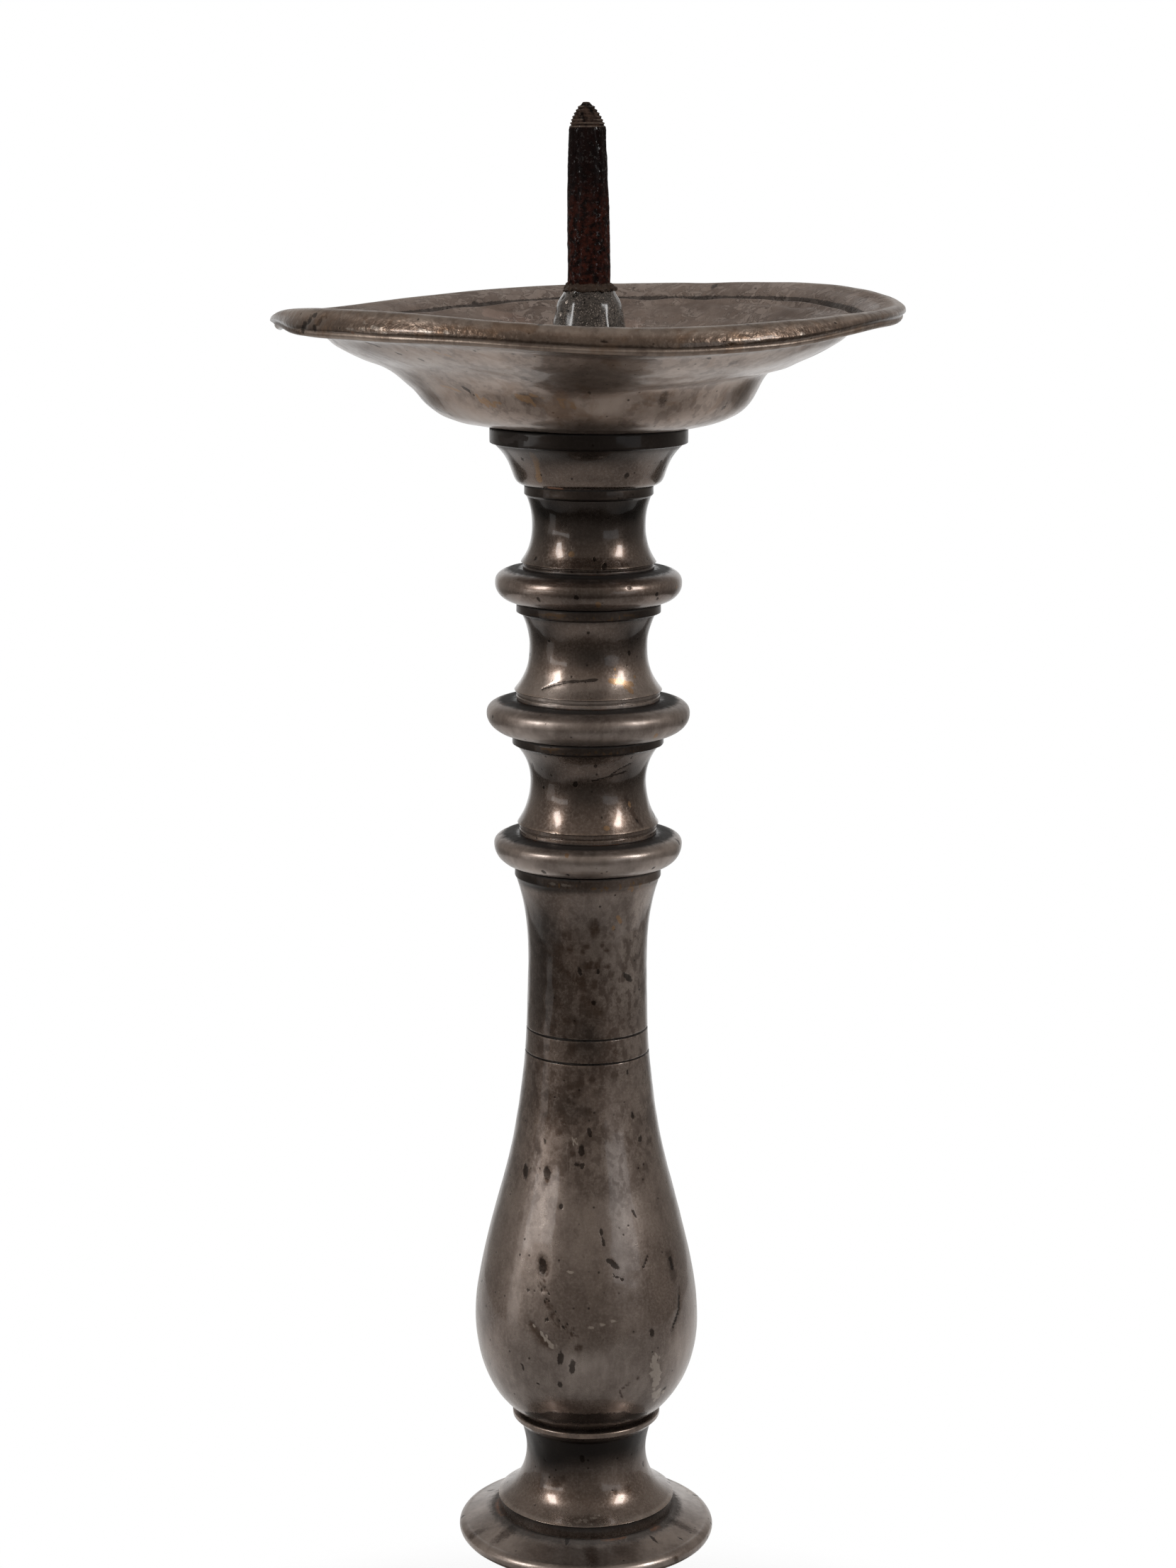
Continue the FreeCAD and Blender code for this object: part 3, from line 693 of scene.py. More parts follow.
marks["trumpet_neck"] = [
    *paths("pale", (0.15, 0, (-12, 109.5), (10, 111)), (0.12, 0, (-6, 110.5), (4, 109.5))),
    *strewn("rough", 8, 317, (108, 132), 1.6),
    *strewn("black", 12, 318, (108, 134), 0.45, 0.05, 1.4)]
marks["base_flange"] = [*strewn("rough", 10, 319, (98, 105), 1.6),
                        *strewn("black", 14, 320, (98, 105), 0.5, 0.06)]
marks["base_bell"] = [*strewn("black", 42, 321, (4, 94), 0.7, 0.12), *strewn("rough", 40, 322, (4, 94), 2.4)]
marks["collar"] = [*strewn("black", 26, 323, (428, 459), 0.6, 0.2), *strewn("pale", 18, 324, (426, 459), 0.4)]

# On the pan, the second number of a place is a radius, or a height for its rim. The long black mark in
# the well paints the shadow in the groove round it.
marks["pan_underside"] = [
    *paths("black", (0.3, 0.1, (-53, 76), (-54, 71), (-51, 69)), (0.3, 0.1, (-42, 82), (-43, 77)),
           (0.35, 0.1, (-49, 67.5), (-46, 65.5), (-46, 62))),
    *paths("rubbed", (0.4, 0, (-36, 70), (-33, 68), (-31, 67)), (0.4, 0, (-52, 50), (-45, 48.5)),
           (0.4, 0, (-38, 46.5), (-33, 46)), (0.7, 0, (-23, 48), (-19, 47.5))),
    *dots("rough", (-20, 47.8, 3.0, 1.4)),
    *trail("rubbed", [(-24, 48), (-17, 47.5)], 10, 341, 0.5, 0.5),
    *trail("rubbed", [(-14, 47.5), (-4, 47)], 16, 342, 0.4, 0.5),
    *trail("rubbed", [(-38, 47), (-30, 45.5)], 12, 343, 0.4, 0.6),
    *strewn("black", 26, 325, (30, 82), 0.6, 0.08, 2.2),
    *strewn("rough", 26, 326, (30, 82), 1.3, 0.0, 1.6)]
marks["pan_well"] = [
    *paths("rust", (2.2, 0, (-155, 70), (-159, 67.5), (-163, 65))),
    *dots("rust", (-150, 58, 4, 3), (170, 62, 5, 3), (-10, 40, 4, 3)),
    # Painted shadow: a black line in the groove between the well and the rim.
    *paths("black", (0.45, 0, (-180, 75.2), (0, 75.2), (180, 75.2))),
    *strewn("black", 42, 327, (20, 70), 0.84, 0.2),
    *strewn("pale", 30, 328, (20, 72), 0.6),
    *strewn("rust", 14, 329, (20, 70), 1.6)]
marks["pan_rim"] = [
    *paths("black", (0.9, 0.5, (-56, 453.5), (-59, 450)), (0.8, 0.4, (-52, 454), (-54, 451))),
    *dots("rust", (-43, 450.8, 0.5, 0.5)),
    # Painted shade: a dark stain along the cove and bead under the rim's bent left end.
    *paths("rough", (0.8, 0, (-89, 451), (-78, 450.3), (-66, 449.8), (-60, 449.6))),
    # Painted glints: pale specks along both sides of the rim's face.
    *trail("pale", [(-44, 451.8), (-34, 452.0), (-24, 451.8)], 50, 344, 0.34, 0.35),
    *trail("pale", [(24, 451.6), (38, 452.0), (52, 451.8)], 34, 345, 0.3, 0.3),
    *strewn("black", 42, 330, (449, 456), 0.42, 0.18),
    *strewn("pale", 30, 331, (450, 456), 0.5)]
print("marks:", sum(len(found) for found in marks.values()))

# %% [markdown]
# ## Drums and knops
# Three waisted drums alternate with three ring-shaped knops. No two are the same size, because
# each was turned by eye. A drum has a ring at its top, a hollow waist, a sharp lip and a plain
# fillet; a knop swells out from under that fillet and tucks in again above a narrow recess.

# %% Drums
skins = {}
lip_inset, lip_edge = 0.6 * mm, 0.1 * mm
groove_half, groove_insets = 0.2 * mm, 1.6
# Below its top ring a drum narrows, by shares of that step and of its height, and then flares to its lip.
drum_step_shares = (0.38, 0.16)
drum_flare_shares = [(0.0, 0.43), (0.11, 0.65), (0.476, 0.847)]


def draw_drum(name, ring_radius, ring_height, top_radius, waist_radius, lip_radius, waist_height,
              chamfer=0.6):
    """All sizes are in mm."""
    top, bottom = top_of[name], foot_of[name]
    waist_top = top - (ring_height + chamfer) * mm
    flare = (lip_radius - waist_radius) * mm
    lip = waist_top - waist_height * mm
    pen = Pen(core_radius, top).line(ring_radius * mm, top)
    pen.line(ring_radius * mm, top - ring_height * mm).line(top_radius * mm, waist_top)
    narrowed, down = drum_step_shares
    narrow_radius = waist_radius + narrowed * (top_radius - waist_radius)
    curve = [(narrow_radius * mm, waist_top - down * waist_height * mm)]
    for out, down in drum_flare_shares:
        curve.append((waist_radius * mm + out * flare, waist_top - down * waist_height * mm))
    pen.curve(curve + [(lip_radius * mm, lip)])
    fillet, groove = lip_radius * mm - lip_inset, 0.5 * (lip + bottom)
    pen.line(fillet, lip - lip_edge).line(fillet, groove + groove_half)
    pen.line(lip_radius * mm - groove_insets * lip_inset, groove)
    return pen.line(fillet, groove - groove_half).line(fillet, bottom).line(core_radius, bottom)


drum_sizes = {"lower_drum": (21.3, 2.35, 20.0, 16.3, 19.95, 22.2),
              "middle_drum": (20.15, 2.55, 18.6, 16.45, 20.7, 21.4),
              "upper_drum": (17.95, 2.65, 17.25, 15.8, 18.95, 18.3)}
for seed, (name, sizes) in enumerate(drum_sizes.items()):
    skins[name] = turned(name, draw_drum(name, *sizes), 20 + 10 * seed, softness=0.1 * mm, longest=0.5 * mm,
                         dirt=(0.4 * mm, 0.3 * mm))

# %% Knops


def draw_knop(name, drum, radius, tuck_radius, rise_height, recess_depth=1.2):
    """All sizes are in mm."""
    top, bottom = top_of[name], foot_of[name]
    fillet_radius = drum_sizes[drum][4] * mm - lip_inset
    recess = bottom + 0.2 * mm
    pen = Pen(core_radius, top).line(fillet_radius, top)
    pen.quarter(radius * mm, top - rise_height * mm, True, fullness=1.3)
    pen.quarter(tuck_radius * mm, recess, False)
    pen.line((tuck_radius - recess_depth) * mm, recess).line((tuck_radius - recess_depth) * mm, bottom)
    return pen.line(core_radius, bottom)


knop_sizes = {"lower_knop": ("lower_drum", 26.5, 20.0, 3.1),
              "middle_knop": ("middle_drum", 28.55, 20.5, 4.05),
              "upper_knop": ("upper_drum", 26.1, 19.5, 4.25)}
for seed, (name, sizes) in enumerate(knop_sizes.items()):
    skins[name] = turned(name, draw_knop(name, *sizes), 50 + 10 * seed, longest=0.6 * mm, segments=320,
                         dirt=(2.8 * mm, 0.1 * mm))

# %% [markdown]
# ## Baluster
# The biggest casting: a tall neck with two turned lines that swells into the bulb. Its outline
# is one smooth curve through points given as shares of its height and of its swelling.

# %% Baluster
neck_radius, bulb_radius = 16.95 * mm, 32.3 * mm
baluster_shares = [(0.092, 0.063), (0.016, 0.124), (0.0, 0.2), (0.022, 0.29), (0.052, 0.332), (0.1, 0.38),
                   (0.24, 0.473), (0.596, 0.614), (0.937, 0.757), (1.0, 0.817), (0.955, 0.873),
                   (0.77, 0.93), (0.44, 0.976), (0.2, 0.996)]
turned_line_shares = (0.29, 0.332)
turned_line_depth, turned_line_width = 0.5 * mm, 0.3 * mm


def cut_lines(pen, heights):
    """Cuts a fine V-shaped line into the outline at each height."""
    made = []
    for radius, height in pen.points:
        shares = [max(0, 1 - abs(height - line) / turned_line_width) for line in heights]
        depth = sum(turned_line_depth * share for share in shares)
        made.append((radius - depth, height))
    pen.points = made


def draw_baluster():
    top, bottom = top_of["baluster"], foot_of["baluster"]
    tall = top - bottom
    swelling = bulb_radius - neck_radius
    outline = [(neck_radius + swelling * out, top - tall * down) for out, down in baluster_shares]
    pen = Pen(core_radius, top).steps_down(top, (20.7, 0), (20.7, 2.75), (20.15, 3.65))
    pen.points += smooth_through([pen.here()] + outline, steps=160)
    cut_lines(pen, [top - tall * share for share in turned_line_shares])
    return pen.line(19.4 * mm, bottom).line(core_radius, bottom)


baluster_top, baluster_foot = top_of["baluster"], foot_of["baluster"]
turned_lines = [(baluster_top - share * (baluster_top - baluster_foot)) / mm for share in turned_line_shares]
for level in turned_lines:
    marks["baluster"] += paths("black", (0.3, 0, (-180, level), (0, level), (180, level)))
skins["baluster"] = turned("baluster", draw_baluster(), 90, softness=0.1 * mm, longest=0.85 * mm,
                           segments=336, out_of_round=0.06 * mm, dent_depth=0.08 * mm, dent_size=5.0 * mm,
                           dirt=(0.4 * mm, 0.15 * mm))

# %% [markdown]
# ## Trumpet neck and flange
# Under the bulb a ring and a trumpet-shaped neck flare out to a sharp lip. It stands on a flat
# flange with a rolled edge, which covers the top of the foot.

# %% Trumpet neck and flange


def draw_trumpet():
    top, bottom = top_of["trumpet_neck"], foot_of["trumpet_neck"]
    waist_top = top - 4.0 * mm
    tall, waist, flare = 22.65 * mm, 17.45 * mm, 8.25 * mm
    pen = Pen(core_radius, top).steps_down(top, (21.2, 0), (21.5, 0.3), (21.45, 1.5))
    pen.line(18.9 * mm, waist_top)
    pen.curve([(waist, waist_top - tall / 3), (waist + 0.1 * flare, waist_top - 0.61 * tall),
               (waist + 0.39 * flare, waist_top - 0.825 * tall), (waist + flare, waist_top - tall)])
    pen.line(25.3 * mm, pen.here()[1] - 0.2 * mm).line(25.2 * mm, bottom)
    return pen.line(core_radius, bottom)


def draw_flange():
    top, bottom = top_of["base_flange"], foot_of["base_flange"]
    edge_top, roll = top - 3.2 * mm, 2.2 * mm
    inner_radius, outer_radius = 35.0 * mm, 37.25 * mm
    pen = Pen(core_radius, top).steps_down(top, (25.9, 0), (26.4, 0.25))
    pen.curve([(30.5 * mm, top - 1.7 * mm), (inner_radius, edge_top)])
    pen.quarter(outer_radius, edge_top - roll, True).quarter(inner_radius, edge_top - 2 * roll, False)
    return pen.line(30.0 * mm, bottom).line(core_radius, bottom)


skins["trumpet_neck"] = turned("trumpet_neck", draw_trumpet(), 110, softness=0.1 * mm,
                               dirt=(0.1 * mm, 0.3 * mm))
skins["base_flange"] = turned("base_flange", draw_flange(), 120, segments=336, dirt=(3.0 * mm, 1.0 * mm))

# %% [markdown]
# ## Capital
# The capital carries the pan: an upright band, then a hollow taper down to a rounded lip.

# %% Capital
# Its radius and how far down, in mm, from the top of the taper to its rounded lip.
capital_taper = [(24.3, 2.2), (23.2, 3.7), (22.1, 5.9), (21.3, 8.0), (20.7, 9.5), (20.0, 10.5), (19.2, 11.05)]


def draw_capital():
    top, bottom = top_of["capital"], foot_of["capital"]
    taper_top = top - 4.6 * mm
    pen = Pen(core_radius, top).steps_down(top, (27.3, 0), (27.5, 0.3), (27.5, 4.3))
    pen.line(26.3 * mm, taper_top)
    pen.curve([(radius * mm, taper_top - down * mm) for radius, down in capital_taper])
    return pen.line(18.5 * mm, bottom).line(core_radius, bottom)


skins["capital"] = turned("capital", draw_capital(), 130, segments=320)

# %% [markdown]
# ## Foot
# The foot is below the photograph's edge, so its form is the usual one for such a stem: a hollow
# bell with a flared shoulder, a convex moulding and an upright band that stands on the ground.

# %% Foot
foot_flare_shares = [(0.035, 0.22), (0.155, 0.5), (0.41, 0.75), (0.72, 0.91), (1.0, 1.0)]


def draw_foot():
    top, wall = top_of["base_bell"], 5.0 * mm
    neck_radius, shoulder_radius = 23.5 * mm, 79.0 * mm
    neck, shoulder, ceiling = top - 9.0 * mm, 33.4 * mm, top - 9.0 * mm
    band_radius, band_top, band_wall = 97.5 * mm, 13.0 * mm, 9.0 * mm
    pen = Pen(rod_hole, top).steps_down(top, (30.0, 0), (30.0, 2.6))
    pen.quarter(neck_radius, neck, True)
    flare = smooth_through([(neck_radius, neck)] + [
        (neck_radius + (shoulder_radius - neck_radius) * out, neck + (shoulder - neck) * down)
        for out, down in foot_flare_shares])
    pen.points += flare
    pen.line(shoulder_radius, shoulder - 2.4 * mm).quarter(94.0 * mm, band_top, True)
    pen.line(band_radius, band_top).line(band_radius, 0).line(band_radius - band_wall, 0)
    pen.line(band_radius - band_wall, band_top - wall).quarter(76.4 * mm, 29.0 * mm, False)
    slope = heading_of(np.array(flare))
    inner = np.array(flare) + wall * np.stack([slope[:, 1], -slope[:, 0]], axis=1)
    pen.points += [tuple(point) for point in inner[::-1]
                   if point[0] < 76.0 * mm and point[1] < ceiling - 2 * mm]
    pen.line(18.6 * mm, ceiling)
    return pen.line(rod_hole, ceiling)


skins["base_bell"] = turned("base_bell", draw_foot(), 140, softness=0.25 * mm, longest=1.5 * mm, segments=320,
                            out_of_round=0.04 * mm, dent_size=6.0 * mm, bottom=0.0)

# %% [markdown]
# ## Drip pan
# The pan is thin, and has been dropped: its rim leans and waves. So it isn't simply spun. Its
# section is drawn once, and each turn of it is lifted by a few waves that grow towards the rim.
# From the outside in, the section has a bead, a cove, a worn arris, a cushion and a groove; the
# groove's shadow is painted black on it.

# %% Drip pan
pan_level = foot_of["drip_pan"]
seat_radius, pan_radius, pan_wall = 24.0 * mm, 87.6 * mm, 3.6 * mm
rim_base = pan_level + 26.7 * mm
# The underside from the seat out to the rim: radius and height in mm, the height above the rim's base.
underside = [(24.0, -26.7), (29.4, -26.2), (33.4, -25.5), (37.3, -24.5), (41.2, -22.7), (44.8, -19.6),
             (47.0, -16.3), (49.0, -13.6), (51.0, -12.1), (53.5, -10.9), (57.0, -9.3), (61.0, -7.7),
             (65.0, -5.9), (69.0, -3.6), (72.6, -1.5), (76.6, -0.5), (81.0, 0.1), (83.7, 0.45)]
ridge_and_cushion = [(72.0, 2.2), (72.9, 3.0), (73.7, 2.7), (74.4, 1.8), (75.1, 2.9), (76.4, 4.4),
                     (78.6, 5.7), (81.0, 6.5), (83.9, 6.9), (85.4, 6.5), (86.3, 5.7), (86.9, 4.7),
                     (87.45, 3.6), (87.6, 3.2), (87.58, 2.6), (87.4, 2.0), (87.1, 1.6)]
bead = [(87.25, 1.3), (87.1, 0.7), (86.6, 0.2), (86.0, 0.0)]
# How worn the pan is along its section: mm out from the crest of the rim, and the polish there.
# The black from 9.7 to 12.8 mm, on the underside just behind the bead, is a painted shadow line.
pan_wear_and_shade = [(-14, 0.5), (-9, 0.35), (-3, 0.7), (0, 1.0), (1.8, 1.0), (3.0, 0.8), (4.2, 0.45), (5.2, 0.32),
            (7.2, 0.22), (7.6, 0.72), (8.9, 0.72), (9.3, 0.3), (9.7, 0.0), (12.8, 0.0), (13.6, 0.78),
            (30, 0.88), (50, 0.92)]
# How satin it is, in the same way: the crest and the bead are. And where its rim is battered.
pan_satin = [(-5, 0.0), (-3, 1.0), (3.0, 1.0), (4.6, 0.0), (7.0, 0.0), (7.6, 1.0), (9.0, 1.0), (9.4, 0.0)]
pan_battered = [(0, 0), (2, 1), (7, 1), (9, 0)]
# Each wave of the rim: how many times it rises round the rim, its height in mm, and where it is highest.
rim_waves = [(1, 2.2, 51), (2, 1.95, 46), (3, 0.85, 99), (4, 0.44, 41), (5, 0.29, 33)]
# Where the rim is thinner, or sags: the middle, half and soft edge of an arc in degrees, and how much in mm.
left_tip = (180, 7, 15)
thinner_arcs = [(8, 50, 16, 2.3), (226, 16, 12, -0.9), (180, 16, 13, 3.5), (*left_tip, -1.9)]
sagging_arcs = [(183, 10, 14, 0.9), (288, 26, 20, -0.8)]


def near_turn(angle, middle, half, soft):
    """1 within half degrees of the middle of an arc of the rim, and smoothly 0 beyond."""
    off = np.abs(np.mod(np.degrees(angle) - middle + 180, 360) - 180)
    share = np.clip((half + soft - off) / (2 * soft), 0, 1)
    return share * share * (3 - 2 * share)


def over_arcs(angle, arcs):
    return sum(amount * near_turn(angle, *arc) for *arc, amount in arcs)


def bell(value, middle, reach):
    return np.exp(-((value - middle) / reach) ** 2)


def rim_lift(radius, angle):
    """How far the warped pan stands above its mean height."""
    share = np.clip((radius - seat_radius) / (pan_radius - seat_radius), 0, 1.1)
    total = 0
    for count, height, crest in rim_waves:
        total = total + height * mm * np.cos(count * (angle - math.radians(crest)))
    return share * total + 1.5 * mm * np.cos(angle) * bell(radius, 49.5 * mm, 3.4 * mm)


def draw_pan():
    below = [(radius * mm, rim_base + up * mm) for radius, up in underside]
    outer = np.array(smooth_through(below, steps=20))
    slope = heading_of(outer)
    inner = outer + pan_wall * np.stack([-slope[:, 1], slope[:, 0]], axis=1)
    pen = Pen(rod_hole, pan_level + pan_wall)
    pen.points += [tuple(point) for point in inner if seat_radius < point[0] < 70.5 * mm]
    pen.curve([(radius * mm, rim_base + up * mm) for radius, up in ridge_and_cushion])
    pen.curve([(radius * mm, rim_base + up * mm) for radius, up in bead])
    pen.line(85.2 * mm, rim_base + 0.5 * mm).line(84.4 * mm, rim_base + 0.75 * mm)
    pen.points += [tuple(point) for point in outer[::-1]]
    return pen.line(seat_radius, pan_level).line(rod_hole, pan_level)


def make_pan(segments=300, longest=1.7 * mm, seed=150):
    line = soften(draw_pan().points, 0.14 * mm)
    along, bend = measured(line)
    edge = creased(bend, along, 0.35 * mm)
    seam = creased(-bend, along, 0.8 * mm, seam_least, seam_span)
    rings, way = laid_rings(line, along, longest, 10)
    angle, radius, height, place = full_turn(segments), rings[:, :1], rings[:, 1:], way[:, None]
    past = place - way[np.argmax(rings[:, 1])]
    push = 0.10 * mm * wander(angle, place, seed, 30 * mm, 7)
    push = push + 0.03 * mm * wander(angle, place, seed + 1, 8 * mm, 30)
    push = push - dents(angle, place, radius, seed + 2, 90, 5 * mm, 0.15 * mm)
    push = push * rise(radius, seat_radius, 8 * mm)
    masks = {kind: 0 for kind in mark_kinds}
    faces = {"pan_well": past < 0, "pan_underside": past > 12 * mm, "pan_rim": abs(past) < 12 * mm}
    for face, share in faces.items():
        found = marks[face]
        flat = height if face == "pan_rim" else radius
        push = push - share * sum(mark.depth_at(angle, flat, radius) for mark in found)
        for kind, mask in painted(found, angle, flat, radius).items():
            masks[kind] = np.maximum(masks[kind], mask * share)
    flaky = 0.2 * mm * wander(angle, place, seed + 5, 4 * mm, 34, waves=40)
    push = push + flaky * rise(-past, 7 * mm, 4 * mm) * rise(radius, 18 * mm, 4 * mm)
    tucked = rise(past, 2.5 * mm, 4.5 * mm) * rise(radius, 70 * mm, 9 * mm)
    thinner = mm * over_arcs(angle, thinner_arcs) * tucked
    sagging = mm * over_arcs(angle, sagging_arcs) * rise(radius, 70 * mm, 14 * mm)
    nose = 1.2 * mm * near_turn(angle, 178, 14, 14) * tucked * (1 - near_turn(angle, *left_tip))
    nose = nose - 1.3 * mm * near_turn(angle, 180, 10, 12) * bell(past, 5.5 * mm, 3.6 * mm)
    cove = 0.6 * mm * near_turn(angle, 0, 30, 20) * bell(radius, 68 * mm, 9 * mm) * (past > 0)
    radius, height = pushed(rings, push)
    radius = np.minimum(radius, pan_radius) - 0.7 * thinner - nose
    height = height + rim_lift(radius, angle) + thinner - sagging + cove
    worn_and_painted_light = np.interp(past / mm, *zip(*pan_wear_and_shade)) + 0 * angle
    worn_and_painted_light = worn_and_painted_light - 0.3 * near_turn(angle, 210, 15, 20) * (past > 13 * mm)
    masks.update({"edge": np.interp(way, along, edge)[:, None], "seam": np.interp(way, along, seam)[:, None],
                  "inside": np.clip(0.5 - past / (6 * mm), 0, 1), "polish_and_painted_light": worn_and_painted_light, "spots": 0.45,
                  "satin": np.interp(past / mm, *zip(*pan_satin)),
                  "rim": np.interp(past / mm, *zip(*pan_battered))})
    made = mesh_object("skin_drip_pan", spun(angle, radius, height), masks)
    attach(made, "root")
    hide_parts("drip_pan")
    print(made.name, "rings", len(rings), "faces", len(made.data.polygons))
    return made


skins["drip_pan"] = make_pan()

# %% [markdown]
# ## Collar and spike
# A cast collar closes the rod's hole in the pan. The spike rises through it: forged iron, nearly
# round, with soft hammered flats, and a blunt point cut with coarse ridges to grip the wax.

# %% Collar
collar_shares = [(0.5, 0.06), (0.58, 0.115), (0.63, 0.19), (0.69, 0.32), (0.74, 0.58), (0.84, 0.85),
                 (1.0, 1.0)]


def draw_collar():
    top, bottom, foot = top_of["collar"], foot_of["collar"], 14.5 * mm
    pen = Pen(rod_hole, top).line(0.44 * foot, top)
    pen.curve([(foot * out, top - (top - bottom) * down) for out, down in collar_shares])
    return pen.line(rod_hole, bottom)


skins["collar"] = turned("collar", draw_collar(), 160, segments=224, longest=0.4 * mm, out_of_round=0.10 * mm,
                         dent_depth=0.2 * mm, dent_size=1.4 * mm)

# %% Spike
spike_level = top_of["collar"]
spike_low, spike_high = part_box("pricket")
shoulder = spike_high.z - 6.9 * mm
ridge_count = 7
# The radius of the shaft, and how far above the collar, in mm.
spike_shaft = [(5.35, 32), (5.72, 22), (5.84, 9), (5.8, 0)]


def draw_spike():
    """From the point down over the ridges and the shaft, and on down the hidden rod to its end."""
    shoulder_radius, tip_radius, ridge_depth = 4.85 * mm, 1.6 * mm, 0.5 * mm
    tip = spike_high.z - 0.4 * mm
    pen = Pen(0.02 * mm, tip).line(0.5 * tip_radius, tip - 0.05 * mm)
    for ridge in range(ridge_count, 0, -1):
        for share, depth in ((ridge - 0.62, ridge_depth), (ridge - 1, 0.0)):
            up = share / ridge_count
            radius = tip_radius + (shoulder_radius - tip_radius) * (1 - up ** 1.55)
            pen.line(radius - depth, shoulder + (tip - 0.4 * mm - shoulder) * up)
    pen.line(4.98 * mm, shoulder - 1.2 * mm)
    pen.curve([(radius * mm, spike_level + up * mm) for radius, up in spike_shaft])
    pen.line(rod_radius, spike_level).line(rod_radius, spike_low.z)
    return pen.line(0.02 * mm, spike_low.z)


def make_spike(segments=128, seed=170):
    line = soften(draw_spike().points, 0.09 * mm)
    along, bend = measured(line, 0.3 * mm)
    rings, way = laid_rings(line, along, 0.7 * mm, 10)
    angle, radius, height, place = full_turn(segments), rings[:, :1], rings[:, 1:], way[:, None]
    upper = rise(height, spike_level, 1 * mm)
    flats = 0.07 * mm * np.cos(7 * angle + 0.6) + 0.04 * mm * np.cos(11 * angle + 2.0)
    rough = 0.05 * mm * wander(angle, place, seed, 9 * mm, 3)
    rough = rough + 0.03 * mm * wander(angle, place, seed + 1, 1.6 * mm, 22)
    pits = dents(angle, place, radius, seed + 2, 160, 0.7 * mm, 0.14 * mm)
    radius = radius + upper * rise(radius, 0, 2 * mm) * (flats + rough - pits)
    lean = 0.1 * mm + 0.016 * rise(height, spike_level, 1)
    lean = lean + 0.15 * mm * rise(height, shoulder, spike_high.z - shoulder) ** 1.3
    points = spun(angle, radius, height)
    points[..., 0] -= lean * upper
    edge, seam = creased(bend, along, 0.15 * mm), creased(-bend, along, 0.15 * mm)
    at_foot = np.clip(1 - np.abs(height - spike_level) / (2 * mm), 0, 1)
    masks = {"edge": np.interp(way, along, edge)[:, None], "polish_and_painted_light": 0.5,
             "seam": np.maximum(np.interp(way, along, seam)[:, None], at_foot)}
    made = mesh_object("skin_pricket", points, masks, closed=False)
    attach(made, "root")
    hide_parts("pricket")
    print(made.name, "rings", len(rings), "faces", len(made.data.polygons))
    return made


skins["pricket"] = make_spike()

# %% Wax and rust
# Old wax and flakes of rust have caked round the spike where it leaves the collar, and round the
# collar's foot.


def crust(name, outline, seed, bite, turns=300, rows=34):
    """A lumpy ring of crumbs. Its outline, from the top down, is radius and height in mm over the collar."""
    curve = smooth_through([(radius * mm, spike_level + up * mm) for radius, up in outline])
    line = spaced(np.array(curve), 0.3 * mm, 9)
    wanted, known = np.linspace(0, 1, rows), np.linspace(0, 1, len(line))
    line = np.stack([np.interp(wanted, known, line[:, k]) for k in (0, 1)], axis=1)
    angle, radius, height = full_turn(turns), line[:, :1], line[:, 1:]
    lumps = 0.6 * wander(angle, height, seed, 2.2 * mm, 12)
    lumps = lumps + 0.5 * wander(angle, height, seed + 1, 0.7 * mm, 40)
    crumbs = dents(angle, height, radius, seed + 2, 420, 0.34 * mm, 1.0)
    uneven = 0.5 * bite * mm * wander(angle, 0 * height, seed + 3, 4 * mm, 14)
    radius, height = pushed(line, (0.3 * lumps + 1.1 * crumbs) * bite * mm)
    points = spun(angle, radius, height + uneven)
    back = points[[-1, 0]] * np.array([0.72, 0.72, 1])
    made = mesh_object(name, np.concatenate([points, back]), {"polish_and_painted_light": 0.5})
    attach(made, "root")
    print(name, "faces", len(made.data.polygons))
    return made


spike_crust = [(5.6, 0.7), (5.9, 0.5), (6.2, 0.2), (6.6, -0.2), (6.9, -0.7), (6.9, -1.2)]
foot_crust = [(13.3, -31.8), (14.2, -32.6), (15.2, -33.6), (16.4, -34.6)]
caked = [crust("wax_at_spike", spike_crust, 180, 0.22), crust("wax_at_collar_foot", foot_crust, 190, 0.5)]

# %% [markdown]
# ## Shader groups
# Every finish here is old metal, so the same few effects come back: clouds of lighter and darker
# patina, marks and rubbed edges, dirt in the seams, pits and scratches, and dust. Each effect is a
# node group that gives masks. The materials decide what colour and gloss a mask turns into.

# %% Group helpers


def new_group(name, inputs, outputs):
    """An empty shader group with number inputs, as {name: default}, and number outputs."""
    group = bpy.data.node_groups.new(name, "ShaderNodeTree")
    for key, value in inputs.items():
        group.interface.new_socket(key, in_out="INPUT", socket_type="NodeSocketFloat").default_value = value
    for key in outputs:
        group.interface.new_socket(key, in_out="OUTPUT", socket_type="NodeSocketFloat")
    return group, group.nodes.new("NodeGroupInput").outputs, group.nodes.new("NodeGroupOutput").inputs


def place_group(tree, group, inputs):
    node = add_node(tree, "ShaderNodeGroup", node_tree=group)
    for key, value in inputs.items():
        node.inputs[key].default_value = value
    return node.outputs


def shifted(tree, seed, stretch=(1, 1, 1)):
    """The place on the object, stretched, and shifted by 10 mm for each 1 of the seed."""
    place = add_node(tree, "ShaderNodeTexCoord").outputs["Object"]
    away = add_node(tree, "ShaderNodeCombineXYZ", {key: times(tree, seed, 10 * mm) for key in (0, 1, 2)})
    inputs = {0: place, 1: stretch, 2: away.outputs[0]}
    return add_node(tree, "ShaderNodeVectorMath", inputs, operation="MULTIPLY_ADD").outputs[0]


